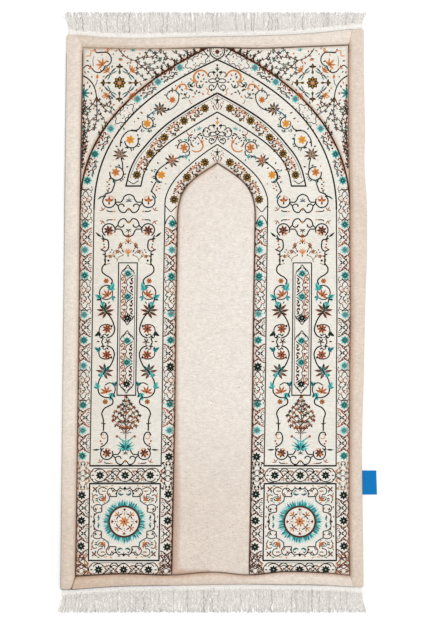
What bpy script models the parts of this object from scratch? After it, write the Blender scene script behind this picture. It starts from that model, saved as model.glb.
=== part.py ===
"""Padded prayer rug with a printed arch field, a plain niche, a puffed border and two fringes.

The rug lies flat on its back, pile side up. X runs across it, +Y points to the arch end and
the origin is in the middle of the underside. Metres throughout.
"""
import math
import random

import bmesh
import bpy
import numpy as np
from mathutils import Vector
from mathutils.geometry import delaunay_2d_cdt

# ---- heights of the padding -------------------------------------------------------------
SEAM_HEIGHT = 0.0045          # cloth pulled down to the backing along every seam
PAD_HEIGHT = 0.0115           # full thickness of the foam-filled panels
BORDER_CROWN = 0.0125         # top of the puffed border strips
SHOULDER = 0.014              # a panel reaches its full height this far from a seam
SEAM_GAP = 0.0003             # clearance between neighbouring pieces
SWELL = 0.0006                # slow unevenness of the panels
# its two waves: radians per metre along x and y, and where they start
SWELL_WAVES = ((17.0, 5.0, 0.6), (-4.0, 11.0, 0.3))
STRIP_SWELL = 0.04            # unevenness of the border strips, as a part of their crown
STRIP_WAVE = (9.0, 15.0)      # and its wave, radians per metre along x and y

# ---- border: corners and edges, as the rug really lies ----------------------------------
# corner: outer x, outer y, seam x, seam y, x where the strips' joint meets the end edge
CORNERS = {
    "bottom_left": (-0.3326, -0.6055, -0.2998, -0.5735, -0.3095),
    "top_left": (-0.3195, 0.6000, -0.2840, 0.5702, -0.2960),
    "top_right": (0.3242, 0.6130, 0.2916, 0.5756, 0.2990),
    "bottom_right": (0.3240, -0.5995, 0.2938, -0.5720, 0.3030),
}
# y, outer edge x, seam x
LEFT_EDGES = (
    (-0.240, -0.3287, -0.2950),
    (0.000, -0.3260, -0.2920),
    (0.240, -0.3236, -0.2894),
)
RIGHT_EDGES = (
    (-0.450, 0.3220, 0.2920),
    (-0.280, 0.3205, 0.2925),
    (-0.130, 0.3245, 0.2935),
    (0.000, 0.3270, 0.2950),
    (0.150, 0.3315, 0.2940),
    (0.240, 0.3305, 0.2938),
    (0.315, 0.3257, 0.2920),
    (0.390, 0.3272, 0.2910),
    (0.480, 0.3250, 0.2905),
)
# x, outer edge y, seam y
TOP_EDGES = (
    (-0.200, 0.5915, 0.5680),
    (-0.100, 0.5925, 0.5680),
    (0.000, 0.5945, 0.5700),
    (0.100, 0.5965, 0.5685),
    (0.200, 0.6010, 0.5720),
)
BOTTOM_EDGES = (
    (-0.200, -0.5965, -0.5685),
    (-0.090, -0.5945, -0.5710),
    (0.000, -0.5930, -0.5650),
    (0.075, -0.5920, -0.5710),
    (0.150, -0.5930, -0.5640),
    (0.230, -0.5940, -0.5660),
)
CORNER_ROUND = 0.003          # how far each outer corner is drawn in
# the puffed section of a border strip: part of the width from the seam, part of the crown
STRIP_SECTION = (
    (0.00, 0.36),
    (0.08, 0.62),
    (0.22, 0.86),
    (0.42, 0.99),
    (0.62, 0.98),
    (0.80, 0.85),
    (0.93, 0.62),
    (1.00, 0.36),
    (0.97, 0.21),
    (0.88, 0.00),
)

# ---- niche and the sewn channel of the outer arch ---------------------------------------
FIELD_FOOT = -0.571           # y of the bottom seam, where heights on the field start
FOOT_CLEAR = 0.008            # no other seam point lies this near the niche's feet
# y, x of the field's middle line, which leans a little
MIDDLE_LINE = (
    (-0.570, -0.0078),
    (-0.235, -0.0012),
    (0.024, 0.0018),
    (0.321, 0.0071),
    (0.570, 0.0071),
)
# half width, springing height, rise of the haunch, reach of the crown, crown slope, apex height
NICHE_ARCH = (0.084, 0.774, 0.072, 0.047, math.radians(34.0), 0.891)
OUTER_ARCH = (0.292, 0.797, 0.159, 0.186, math.radians(24.9), 1.150)
CHANNEL_DEPTH = 0.0045
CHANNEL_SHOULDER = 0.009
CHANNEL_FALL = 1.5            # how sharply the padding drops into it
CHANNEL_ROWS = (-1.0, -0.35, 0.0, 0.35, 1.0)   # rows of points across it, parts of a shoulder
CHANNEL_CLEAR = 0.003         # its rows of points stop this near a seam
CHANNEL_STATIONS = 22
ARCH_STATIONS = 9             # points on each half of the niche's arch

# ---- fringes and side label -------------------------------------------------------------
LOCKS = 96                    # locks of yarn at each end
CLUMP = 4                     # locks that lean together
HEADER_HEIGHT = 0.0020        # woven strip that the locks hang from
HEADER_TUCK = 0.0006          # how far the header reaches under the rounded border edge
HEADER_DEPTH = 0.0140
TOP_TIPS = 0.6490             # y of the level lines that the locks are trimmed to
BOTTOM_TIPS = -0.6545
LOCK_SHORT = 0.004            # the most that a lock falls short of that line
LOCK_SPREAD = 0.0005          # sideways unevenness
CLUMP_LEAN = 0.0009           # each lock leans this far towards the middle of its clump
CORNER_FAN = 0.0090           # the last locks splay this far past the corners
FAN_POWER = 9                 # and how quickly that fades towards the middle
LOCK_CURVE = 1.5              # a lock leaves its root straight and bends towards its tip
LOCK_INSET = 0.003            # the header stops this far inside the rug's corners
LOCK_SEED = 7
HEADER_STATIONS = 14
# part of the lock's length, width, height
LOCK_SECTIONS = (
    (0.00, 0.0036, 0.0020),
    (0.50, 0.0042, 0.0024),
    (1.00, 0.0020, 0.0013),
)
LABEL_HEIGHT = 0.052
LABEL_REACH = 0.0322
LABEL_LAYER = 0.0007          # thickness of one layer of the folded ribbon
LABEL_MIDDLE_Y = -0.3717
LABEL_STATIONS = 4

# ---- spacing of the points --------------------------------------------------------------
ROW_STEP = 0.034              # along the niche's legs
GRID_STEP = 0.040             # on the open padding
GRID_CLEAR = 0.014            # the grid keeps this far from the rows beside seams and channels
STRIP_STEP = 0.045            # sections along a border strip
CORNER_STEP = 0.006           # the first and last section from a corner
CORNER_PARTS = (0.0, 0.25, 0.5)       # sections that turn a corner, parts of a CORNER_STEP
SIDE_LENGTH = 1.14            # rough lengths of the seams that the sections are shared over
END_LENGTH = 0.58
PAD_ROWS = (0.0025, 0.0065, 0.0125)   # rows of points parallel to the seams
SAME_POINT = 1e-6             # points nearer than this are one
SHARP = math.radians(40.0)    # edges turned more than this are shaded sharp

# name: base colour, roughness
MATERIALS = {
    "printed_velvet": ((0.56, 0.50, 0.40), 0.85),
    "beige_velvet": ((0.58, 0.51, 0.42), 0.85),
    "white_yarn": ((0.72, 0.70, 0.66), 0.90),
    "blue_ribbon": ((0.12, 0.24, 0.45), 0.60),
}


def smooth_at(knots, values, places):
    """Cubic curve through the knots, with each knot's slope taken from its neighbours."""
    knots = np.asarray(knots, float)
    values = np.asarray(values, float)
    places = np.asarray(places, float)
    slopes = np.gradient(values, knots)
    left = np.clip(np.searchsorted(knots, places, side="right") - 1, 0, len(knots) - 2)
    span = knots[left + 1] - knots[left]
    part = (places - knots[left]) / span
    rise = part * part * (3.0 - 2.0 * part)
    start = values[left] * (1.0 - rise) + values[left + 1] * rise
    lean = slopes[left] * part * (1.0 - part) ** 2 - slopes[left + 1] * part ** 2 * (1.0 - part)
    return start + lean * span


def edge_points(first, last, table, column, along, steps):
    """Points of one edge from corner to corner: column 1 is the outer edge, 2 the seam."""
    pair = slice(0, 2) if column == 1 else slice(2, 4)
    start = np.array(CORNERS[first][pair])
    end = np.array(CORNERS[last][pair])
    rows = [(start[along], start[1 - along])]
    rows += [(row[0], row[column]) for row in table]
    rows += [(end[along], end[1 - along])]
    if start[along] > end[along]:
        rows = [rows[0]] + rows[1:-1][::-1] + [rows[-1]]
    rows = np.array(rows)
    order = np.argsort(rows[:, 0])
    places = start[along] + (end[along] - start[along]) * steps
    points = np.empty((len(steps), 2))
    points[:, along] = places
    points[:, 1 - along] = smooth_at(rows[order, 0], rows[order, 1], places)
    return points


def steps_for(length, step):
    """Fractions 0 to 1, with a closer pair of stations at either end."""
    count = max(2, round(length / step))
    close = CORNER_STEP / length
    return np.concatenate(([0.0, close], np.arange(1, count) / count, [1.0 - close, 1.0]))


SIDE_STEPS = steps_for(SIDE_LENGTH, STRIP_STEP)
END_STEPS = steps_for(END_LENGTH, STRIP_STEP)
# name: first corner, last corner, table, axis that it runs along, stations
STRIPS = {
    "left": ("bottom_left", "top_left", LEFT_EDGES, 1, SIDE_STEPS),
    "top": ("top_left", "top_right", TOP_EDGES, 0, END_STEPS),
    "right": ("top_right", "bottom_right", RIGHT_EDGES, 1, SIDE_STEPS),
    "bottom": ("bottom_right", "bottom_left", BOTTOM_EDGES, 0, END_STEPS),
}
ENDS = ("top", "bottom")      # these two strips stop at the side strips


def seam_loop():
    """The closed seam between field and border, clockwise from the bottom left corner."""
    sides = []
    for first, last, table, along, steps in STRIPS.values():
        sides.append(edge_points(first, last, table, 2, along, steps)[:-1])
    return sides


def middle_x(y):
    """X of the field's middle line at y."""
    table = np.array(MIDDLE_LINE)
    return np.interp(y, table[:, 0], table[:, 1])


def arch_half(arch, count):
    """One half of a pointed arch, springing to apex, as (half width, height) points."""
    width, spring, haunch, crown, slope, apex = arch
    part = np.linspace(0.0, 1.0, count)[:, None]
    start = np.array((width, spring))
    lift = np.array((width, spring + haunch))
    lean = np.array((crown, apex - crown * math.tan(slope)))
    end = np.array((0.0, apex))
    rest = 1.0 - part
    lower = rest ** 3 * start + 3 * rest ** 2 * part * lift
    upper = 3 * rest * part ** 2 * lean + part ** 3 * end
    return lower + upper


def on_rug(half, side):
    """Half-arch points placed on the rug, on the left (-1) or the right (+1)."""
    y = FIELD_FOOT + half[:, 1]
    return np.stack((middle_x(y) + side * half[:, 0], y), axis=1)


def niche_sides():
    """Niche outline from the left foot over the apex to the right foot, feet left out."""
    width, spring = NICHE_ARCH[:2]
    heights = np.linspace(0.0, spring, round(spring / ROW_STEP) + 1)[1:-1]
    leg = np.stack((np.full(len(heights), width), heights), axis=1)
    half = np.concatenate((leg, arch_half(NICHE_ARCH, ARCH_STATIONS)))
    left = on_rug(half, -1.0)
    right = on_rug(half[:-1], 1.0)
    return np.concatenate((left, right[::-1]))


def split_bottom(bottom):
    """The bottom seam's points right of, below and left of the niche, with the two feet."""
    width = NICHE_ARCH[0]
    feet = []
    for side in (1.0, -1.0):
        x = float(middle_x(FIELD_FOOT)) + side * width
        y = float(np.interp(x, bottom[::-1, 0], bottom[::-1, 1]))
        feet.append((x, y))
    right = bottom[bottom[:, 0] > feet[0][0] + FOOT_CLEAR]
    left = bottom[bottom[:, 0] < feet[1][0] - FOOT_CLEAR]
    between = (bottom[:, 0] < feet[0][0] - FOOT_CLEAR) & (bottom[:, 0] > feet[1][0] + FOOT_CLEAR)
    return right, bottom[between], left, np.array(feet)


def inset(loop, distance):
    """A closed clockwise loop moved inwards by a distance, mitred at its corners."""
    before = loop - np.roll(loop, 1, axis=0)
    after = np.roll(loop, -1, axis=0) - loop
    normals = []
    for edge in (before, after):
        edge = edge / np.linalg.norm(edge, axis=1)[:, None]
        normals.append(np.stack((edge[:, 1], -edge[:, 0]), axis=1))
    joint = normals[0] + normals[1]
    scale = 1.0 + np.sum(normals[0] * normals[1], axis=1)
    return loop + distance * joint / scale[:, None]


def distance_to(points, line, closed):
    """Distance of each point from a polyline."""
    ends = np.roll(line, -1, axis=0) if closed else line[1:]
    starts = line if closed else line[:-1]
    run = ends - starts
    offset = points[:, None, :] - starts[None]
    part = np.clip(np.sum(offset * run, axis=2) / np.sum(run * run, axis=1), 0.0, 1.0)
    near = offset - part[..., None] * run
    return np.sqrt(np.sum(near * near, axis=2)).min(axis=1)


def swell(x, y):
    """Slow rise and fall of hand-filled padding."""
    first, second = (along_x * x + along_y * y + start for along_x, along_y, start in SWELL_WAVES)
    return SWELL * np.sin(first) * np.cos(second)


def pad_height(points, loop, channels):
    """Height of a padded panel: drawn down at its seams and along its sewn channels."""
    part = np.minimum(distance_to(points, loop, True) / SHOULDER, 1.0)
    round_up = np.sqrt(np.maximum(1.0 - (1.0 - part) ** 2, 0.0))
    height = SEAM_HEIGHT + (PAD_HEIGHT - SEAM_HEIGHT) * round_up
    height += swell(points[:, 0], points[:, 1]) * part
    for channel in channels:
        near = np.minimum(distance_to(points, channel, False) / CHANNEL_SHOULDER, 1.0)
        height -= CHANNEL_DEPTH * (1.0 - near) ** CHANNEL_FALL * part
    return height


def material(name):
    """One Principled cloth material from the table."""
    colour, roughness = MATERIALS[name]
    made = bpy.data.materials.new(name)
    made.use_nodes = True
    shader = made.node_tree.nodes["Principled BSDF"]
    shader.inputs["Base Color"].default_value = (*colour, 1.0)
    shader.inputs["Roughness"].default_value = roughness
    shader.inputs["Metallic"].default_value = 0.0
    made.diffuse_color = (*colour, 1.0)
    return made


def add_object(name, bm, surface, smooth=True):
    """Put a finished bmesh into the scene as one named object."""
    bmesh.ops.recalc_face_normals(bm, faces=bm.faces)
    mesh = bpy.data.meshes.new(name)
    bm.to_mesh(mesh)
    bm.free()
    if smooth:
        mesh.shade_smooth()
        mesh.set_sharp_from_angle(angle=SHARP)
    mesh.materials.append(surface)
    made = bpy.data.objects.new(name, mesh)
    bpy.context.scene.collection.objects.link(made)
    return made


def inside(points, loop):
    """True for points within a closed loop: a ray to +X crosses its edges an odd number of times."""
    x, y = points[:, 0, None], points[:, 1, None]
    start, end = loop, np.roll(loop, -1, axis=0)
    run = end - start
    spans = (start[:, 1] > y) != (end[:, 1] > y)
    level = np.where(run[:, 1] == 0.0, 1.0, run[:, 1])
    crossing = start[:, 0] + (y - start[:, 1]) * run[:, 0] / level
    return np.sum(spans & (x < crossing), axis=1) % 2 == 1


def beside(line, offset):
    """An open line moved sideways by an offset."""
    run = np.gradient(line, axis=0)
    run = run / np.linalg.norm(run, axis=1)[:, None]
    return line + offset * np.stack((run[:, 1], -run[:, 0]), axis=1)


def panel_points(loop, channels):
    """Points of a panel's top: outline, rows beside it, channel rows and a grid, with their lines."""
    rows = [loop] + [inset(loop, depth) for depth in PAD_ROWS]
    lines = []
    start = 0
    for row in rows:
        lines += [(start + i, start + (i + 1) % len(row)) for i in range(len(row))]
        start += len(row)
    for channel in channels:
        for part in CHANNEL_ROWS:
            row = beside(channel, part * CHANNEL_SHOULDER)
            row = row[inside(row, loop) & (distance_to(row, loop, True) > CHANNEL_CLEAR)]
            lines += [(start + i, start + i + 1) for i in range(len(row) - 1)]
            rows.append(row)
            start += len(row)
    low, high = loop.min(axis=0), loop.max(axis=0)
    grid_x = np.arange(low[0] + GRID_STEP / 2, high[0], GRID_STEP)
    grid_y = np.arange(low[1] + GRID_STEP / 2, high[1], GRID_STEP)
    grid = np.stack(np.meshgrid(grid_x, grid_y), axis=2).reshape(-1, 2)
    keep = inside(grid, loop) & (distance_to(grid, loop, True) > PAD_ROWS[-1] + GRID_CLEAR)
    for channel in channels:
        keep &= distance_to(grid, channel, False) > CHANNEL_SHOULDER + GRID_CLEAR
    rows.append(grid[keep])
    return np.concatenate(rows), lines


def padded_panel(name, loop, channels, surface):
    """A filled panel: domed top over a flat underside, with an upright wall at its seams."""
    points, lines = panel_points(loop, channels)
    outline = list(range(len(loop)))[::-1]
    verts, _, faces, _, _, source = delaunay_2d_cdt(
        [Vector(point) for point in points], lines, [outline], 0, SAME_POINT, True)
    placed = np.array([tuple(vert) for vert in verts])
    height = pad_height(placed, loop, channels)
    bm = bmesh.new()
    made = [bm.verts.new((x, y, z)) for (x, y), z in zip(placed, height)]
    for face, polygon in zip(faces, source):
        if polygon:
            bm.faces.new([made[i] for i in face])
    rim = [edge for edge in bm.edges if edge.is_boundary]
    wall = bmesh.ops.extrude_edge_only(bm, edges=rim)["geom"]
    for vert in wall:
        if isinstance(vert, bmesh.types.BMVert):
            vert.co.z = 0.0
    foot = [edge for edge in wall if isinstance(edge, bmesh.types.BMEdge)]
    bmesh.ops.contextual_create(bm, geom=foot)
    return add_object(name, bm, surface)


def arch_channels(loop):
    """The sewn line of the outer arch, left and right, as far as it lies on the field."""
    lines = []
    for side in (-1.0, 1.0):
        line = on_rug(arch_half(OUTER_ARCH, CHANNEL_STATIONS), side)
        lines.append(line[inside(line, loop)])
    return lines


def rim(name, first_part=0.0, last_part=1.0):
    """Outer edge of one side of the rug, over a part of the run between its two corners."""
    first, last, table, along, steps = STRIPS[name]
    return edge_points(first, last, table, 1, along, first_part + (last_part - first_part) * steps)


def joint_parts(name):
    """Where the two corner joints meet the top or bottom edge, as parts of its run."""
    first, last = STRIPS[name][:2]
    start, end = CORNERS[first][0], CORNERS[last][0]
    return [(CORNERS[corner][4] - start) / (end - start) for corner in (first, last)]


def rounded_corner(corner):
    """An outer corner, drawn in a little towards its seam corner."""
    outer, seam = np.array(CORNERS[corner][:2]), np.array(CORNERS[corner][2:4])
    draw = seam - outer
    return outer + CORNER_ROUND * draw / np.linalg.norm(draw)


def strip_lines(name, seams_out):
    """Outer and seam points of one border strip: the side strips run on to the end edges."""
    first, last, _, _, steps = STRIPS[name]
    names = list(STRIPS)
    start = sum(len(STRIPS[other][4]) - 1 for other in names[:names.index(name)])
    inner = np.take(seams_out, range(start, start + len(steps)), axis=0, mode="wrap")
    if name in ENDS:
        outer = rim(name, *joint_parts(name))
    else:
        before, after = names[names.index(name) - 1], names[(names.index(name) + 1) % 4]
        joints = (rim(before, *joint_parts(before))[-1], rim(after, *joint_parts(after))[0])
        corners = (rounded_corner(first), rounded_corner(last))
        turns = [(joint, (joint + corner) / 2, corner) for joint, corner in zip(joints, corners)]
        outer = np.concatenate((turns[0], rim(name)[1:-1], turns[1][::-1]))
        fan = np.array(CORNER_PARTS)[:, None]
        inner = np.concatenate((inner[0] + (inner[1] - inner[0]) * fan, inner[1:-1],
                                (inner[-1] + (inner[-2] - inner[-1]) * fan)[::-1]))
    for end in (0, -1):
        joint = outer[end] - inner[end]
        square = np.array((joint[1], -joint[0])) / np.linalg.norm(joint)
        inwards = np.sign(np.dot(square, inner[len(inner) // 2] - inner[end]))
        outer[end] += inwards * square * SEAM_GAP / 2
        inner[end] += inwards * square * SEAM_GAP / 2
    return outer, inner


def border_strip(name, seams_out, surface):
    """A filled, rounded strip of velvet between the rug's edge and the field seam."""
    outer, inner = strip_lines(name, seams_out)
    bm = bmesh.new()
    rings = []
    profile = [(0.0, 0.0), *STRIP_SECTION]
    for edge, seam in zip(outer, inner):
        lift = 1.0 + STRIP_SWELL * math.sin(np.dot(STRIP_WAVE, edge))
        ring = []
        for part, high in profile:
            x, y = seam + (edge - seam) * part
            ring.append(bm.verts.new((x, y, BORDER_CROWN * high * lift)))
        rings.append(ring)
    count = len(profile)
    for near, far in zip(rings, rings[1:]):
        for i in range(count):
            j = (i + 1) % count
            bm.faces.new((near[i], near[j], far[j], far[i]))
    bm.faces.new(rings[0][::-1])
    bm.faces.new(rings[-1])
    return add_object(f"border_{name}", bm, surface)


def lock_paths(edge, outward, tips):
    """Root, tip and sideways bend of every lock: clumped, trimmed to a line, splayed at the ends."""
    chance = random.Random(LOCK_SEED + outward)
    left, right = edge[0, 0] + LOCK_INSET, edge[-1, 0] - LOCK_INSET
    paths = []
    for i in range(LOCKS):
        across = (i + 0.5) / LOCKS
        x = left + (right - left) * across
        y = float(np.interp(x, edge[:, 0], edge[:, 1])) + HEADER_DEPTH * outward
        clump = CLUMP_LEAN * ((CLUMP - 1) / 2 - i % CLUMP)
        fan = CORNER_FAN * (2.0 * across - 1.0) ** FAN_POWER
        tip_x = x + clump + fan + chance.uniform(-LOCK_SPREAD, LOCK_SPREAD)
        tip_y = tips - LOCK_SHORT * chance.random() * outward
        paths.append(((x, y), (tip_x, tip_y)))
    return paths


def fringe_header(bm, edge, outward, paths):
    """Narrow woven strip along the rug's end; gives the lower and upper row of lock roots."""
    left, right = edge[0, 0] + LOCK_INSET, edge[-1, 0] - LOCK_INSET
    rows = []
    for z in (0.0, HEADER_HEIGHT):
        inner = []
        for x in np.linspace(left, right, HEADER_STATIONS):
            y = float(np.interp(x, edge[:, 0], edge[:, 1])) - HEADER_TUCK * outward
            inner.append(bm.verts.new((x, y, z)))
        outer = []
        for (x, y), _ in paths:
            for side in (-0.5, 0.5):
                outer.append(bm.verts.new((x + side * LOCK_SECTIONS[0][1], y, z)))
        bm.faces.new(inner + outer[::-1])
        rows.append((inner, outer))
    (low_in, low_out), (high_in, high_out) = rows
    for i in range(HEADER_STATIONS - 1):
        bm.faces.new((low_in[i], low_in[i + 1], high_in[i + 1], high_in[i]))
    for i in range(1, len(low_out) - 1, 2):
        bm.faces.new((low_out[i], low_out[i + 1], high_out[i + 1], high_out[i]))
    for i in (0, -1):
        bm.faces.new((low_in[i], low_out[i], high_out[i], high_in[i]))
    return low_out, high_out


def fringe(name, edge, outward, tips, surface):
    """Yarn locks lying on the floor, their roots fused into a narrow woven header."""
    edge = edge[np.argsort(edge[:, 0])]
    paths = lock_paths(edge, outward, tips)
    bm = bmesh.new()
    low, high = fringe_header(bm, edge, outward, paths)
    for i, (root, tip) in enumerate(paths):
        ring = [low[2 * i], low[2 * i + 1], high[2 * i + 1], high[2 * i]]
        for part, width, height in LOCK_SECTIONS[1:]:
            x = root[0] + (tip[0] - root[0]) * part ** LOCK_CURVE
            y = root[1] + (tip[1] - root[1]) * part
            corners = ((-0.5, 0.0), (0.5, 0.0), (0.5, height), (-0.5, height))
            step = [bm.verts.new((x + side * width, y, z)) for side, z in corners]
            for k in range(4):
                bm.faces.new((ring[k], ring[(k + 1) % 4], step[(k + 1) % 4], step[k]))
            ring = step
        bm.faces.new(ring)
    return add_object(name, bm, surface, smooth=False)


def side_label(edge, surface):
    """A ribbon folded double, sewn into the right edge, its fold outwards."""
    top = 2.0 * LABEL_LAYER + SEAM_GAP
    ys = LABEL_MIDDLE_Y + LABEL_HEIGHT * np.linspace(-0.5, 0.5, LABEL_STATIONS)
    order = np.argsort(edge[:, 1])
    bm = bmesh.new()
    rings = []
    for y in ys:
        root = float(np.interp(y, edge[order, 1], edge[order, 0])) - HEADER_TUCK
        tip = root + LABEL_REACH
        section = (
            (root, 0.0),
            (tip - top / 2, 0.0),
            (tip, top / 2),
            (tip - top / 2, top),
            (root, top),
            (root, top - LABEL_LAYER),
            (tip - top / 2 - LABEL_LAYER, top - LABEL_LAYER),
            (tip - top / 2 - LABEL_LAYER, LABEL_LAYER),
            (root, LABEL_LAYER),
        )
        rings.append([bm.verts.new((x, y, z)) for x, z in section])
    count = len(rings[0])
    for near, far in zip(rings, rings[1:]):
        for i in range(count):
            j = (i + 1) % count
            bm.faces.new((near[i], near[j], far[j], far[i]))
    bm.faces.new(rings[0])
    bm.faces.new(rings[-1][::-1])
    return add_object("side_label", bm, surface, smooth=False)


def build():
    """Model the whole rug, piece by piece."""
    for old in list(bpy.data.objects):
        bpy.data.objects.remove(old, do_unlink=True)
    printed, plain, yarn, ribbon = (material(name) for name in MATERIALS)

    sides = seam_loop()
    seams = np.concatenate(sides)
    right, under, left, feet = split_bottom(sides[3])
    arch = niche_sides()
    field = np.concatenate((*sides[:3], right, feet[:1], arch[::-1], feet[1:], left))
    niche = np.concatenate((feet[1:], arch, feet[:1], under))

    padded_panel("field_panel", inset(field, SEAM_GAP / 2), arch_channels(field), printed)
    padded_panel("niche_panel", inset(niche, SEAM_GAP / 2), (), plain)
    seams_out = inset(seams, -SEAM_GAP / 2)
    for name in STRIPS:
        border_strip(name, seams_out, plain)
    fringe("fringe_top", rim("top"), 1, TOP_TIPS, yarn)
    fringe("fringe_bottom", rim("bottom"), -1, BOTTOM_TIPS, yarn)
    side_label(rim("right"), ribbon)


build()
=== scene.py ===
import math

import bmesh
import bpy
import numpy as np
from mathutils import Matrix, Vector
from mathutils.geometry import delaunay_2d_cdt


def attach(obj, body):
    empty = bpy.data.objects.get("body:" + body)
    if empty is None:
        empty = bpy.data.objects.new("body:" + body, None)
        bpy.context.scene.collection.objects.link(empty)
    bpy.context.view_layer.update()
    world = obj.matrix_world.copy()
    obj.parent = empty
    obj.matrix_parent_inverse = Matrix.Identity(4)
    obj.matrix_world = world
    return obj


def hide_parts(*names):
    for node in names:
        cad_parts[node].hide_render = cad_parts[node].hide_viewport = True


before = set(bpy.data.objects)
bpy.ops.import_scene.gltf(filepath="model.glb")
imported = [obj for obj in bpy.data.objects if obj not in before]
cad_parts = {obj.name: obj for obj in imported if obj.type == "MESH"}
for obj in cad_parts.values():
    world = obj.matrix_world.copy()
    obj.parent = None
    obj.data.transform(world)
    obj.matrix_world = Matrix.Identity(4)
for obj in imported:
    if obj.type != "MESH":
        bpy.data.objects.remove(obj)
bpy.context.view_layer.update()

# The rug's lie, in metres: the same corners and edges as the solids, so every piece sits on its node.
rug = {
    # corner: outer x, outer y, seam x, seam y, x where the strips' joint meets the end edge
    "corners": {
        "bottomLeft": (-0.3326, -0.6055, -0.2998, -0.5735, -0.3095),
        "topLeft": (-0.3195, 0.6000, -0.2840, 0.5702, -0.2960),
        "topRight": (0.3242, 0.6130, 0.2916, 0.5756, 0.2990),
        "bottomRight": (0.3240, -0.5995, 0.2938, -0.5720, 0.3030),
    },
    # y, outer x, seam x
    "left": ((-0.240, -0.3287, -0.2950), (0.000, -0.3260, -0.2920), (0.240, -0.3236, -0.2894)),
    "right": (
        (-0.450, 0.3220, 0.2920), (-0.280, 0.3205, 0.2925), (-0.130, 0.3245, 0.2935),
        (0.000, 0.3270, 0.2950), (0.150, 0.3315, 0.2940), (0.240, 0.3305, 0.2938),
        (0.315, 0.3257, 0.2920), (0.390, 0.3272, 0.2910), (0.480, 0.3250, 0.2905),
    ),
    # x, outer y, seam y
    "top": (
        (-0.200, 0.5915, 0.5680), (-0.100, 0.5925, 0.5680), (0.000, 0.5945, 0.5700),
        (0.100, 0.5965, 0.5685), (0.200, 0.6010, 0.5720),
    ),
    "bottom": (
        (-0.200, -0.5965, -0.5685), (-0.090, -0.5945, -0.5710), (0.000, -0.5930, -0.5650),
        (0.075, -0.5920, -0.5710), (0.150, -0.5930, -0.5640), (0.230, -0.5940, -0.5660),
    ),
    "cornerRound": 0.003,
    "seamGap": 0.0003,
    "fieldFoot": -0.571,      # y of the bottom seam, where the print's heights start
    "middleY": (-0.570, -0.235, 0.024, 0.321, 0.570),
    "middleX": (-0.0078, -0.0012, 0.0018, 0.0071, 0.0071),
}
# which two corners each side joins, and the axis that it runs along
sides = {
    "left": ("bottomLeft", "topLeft", 1),
    "top": ("topLeft", "topRight", 0),
    "right": ("topRight", "bottomRight", 1),
    "bottom": ("bottomRight", "bottomLeft", 0),
}


# Shape helpers

# Cubic curve through knots, each slope taken from the neighbouring knots
def smoothAt(knots, values, places):
    knots, values, places = (np.asarray(a, float) for a in (knots, values, places))
    slopes = np.gradient(values, knots, axis=0)
    left = np.clip(np.searchsorted(knots, places, side="right") - 1, 0, len(knots) - 2)
    span = knots[left + 1] - knots[left]
    part = (places - knots[left]) / span
    if values.ndim > 1:
        part, span = part[:, None], span[:, None]
    rise = part * part * (3 - 2 * part)
    lean = slopes[left] * part * (1 - part) ** 2 - slopes[left + 1] * part ** 2 * (1 - part)
    return values[left] * (1 - rise) + values[left + 1] * rise + lean * span


# One side's knots from corner to corner: column 1 is the outer edge, 2 the seam
def sideKnots(side, column):
    first, last, along = sides[side]
    pair = slice(0, 2) if column == 1 else slice(2, 4)
    ends = [rug["corners"][corner][pair] for corner in (first, last)]
    rows = [(row[0], row[column]) for row in rug[side]] + [(e[along], e[1 - along]) for e in ends]
    return np.array(sorted(rows))


# Places across the rug, at given places along one side
def sideAt(side, column, places):
    knots = sideKnots(side, column)
    return smoothAt(knots[:, 0], knots[:, 1], places)


# Points of one side from its first corner to its last, evenly parted
def sidePoints(side, column, count, start=0.0, end=1.0):
    first, last, along = sides[side]
    shift = 0 if column == 1 else 2
    a, b = (rug["corners"][corner][shift + along] for corner in (first, last))
    places = a + (b - a) * (start + (end - start) * np.linspace(0, 1, count))
    points = np.empty((count, 2))
    points[:, along] = places
    points[:, 1 - along] = sideAt(side, column, places)
    return points


# X of the rug's middle line at y
def middleAt(y):
    return np.interp(y, rug["middleY"], rug["middleX"])


# Print place (mm from the middle, mm above the foot) to rug place in metres: the legs' print is
# stretched sideways between the niche and the side seam
def onRug(points):
    y = rug["fieldFoot"] + points[..., 1] / 1000
    across = points[..., 0] / 1000
    middle = middleAt(y)
    seam = np.where(across < 0, middle - sideAt("left", 2, y), sideAt("right", 2, y) - middle)
    niche, half = arches["niche"][0] / 1000, arches["outer"][0] / 1000
    wide = np.maximum(np.abs(across) - niche, 0)
    reach = np.minimum(np.abs(across), niche) + wide * (seam - niche) / (half - niche)
    return np.stack((middle + np.sign(across) * reach, y), -1)


# Distance of each point from a polyline, in blocks of points
def distanceTo(points, line, closed=False):
    ends = np.roll(line, -1, axis=0) if closed else line[1:]
    starts = line if closed else line[:-1]
    run = ends - starts
    length = np.maximum((run * run).sum(1), 1e-12)
    nearest = []
    for block in np.array_split(points, max(1, len(points) // 4000)):
        offset = block[:, None, :] - starts[None]
        part = np.clip((offset * run).sum(2) / length, 0, 1)
        gap = offset - part[..., None] * run
        nearest.append(np.sqrt((gap * gap).sum(2)).min(1))
    return np.concatenate(nearest)


# True inside a closed loop: a ray to +X crosses its edges an odd number of times
def inside(points, loop):
    start, end = loop, np.roll(loop, -1, axis=0)
    run = end - start
    level = np.where(run[:, 1] == 0, 1, run[:, 1])
    found = []
    for block in np.array_split(points, max(1, len(points) // 4000)):
        x, y = block[:, 0, None], block[:, 1, None]
        spans = (start[:, 1] > y) != (end[:, 1] > y)
        crossing = start[:, 0] + (y - start[:, 1]) * run[:, 0] / level
        found.append((spans & (x < crossing)).sum(1) % 2 == 1)
    return np.concatenate(found)


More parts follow.
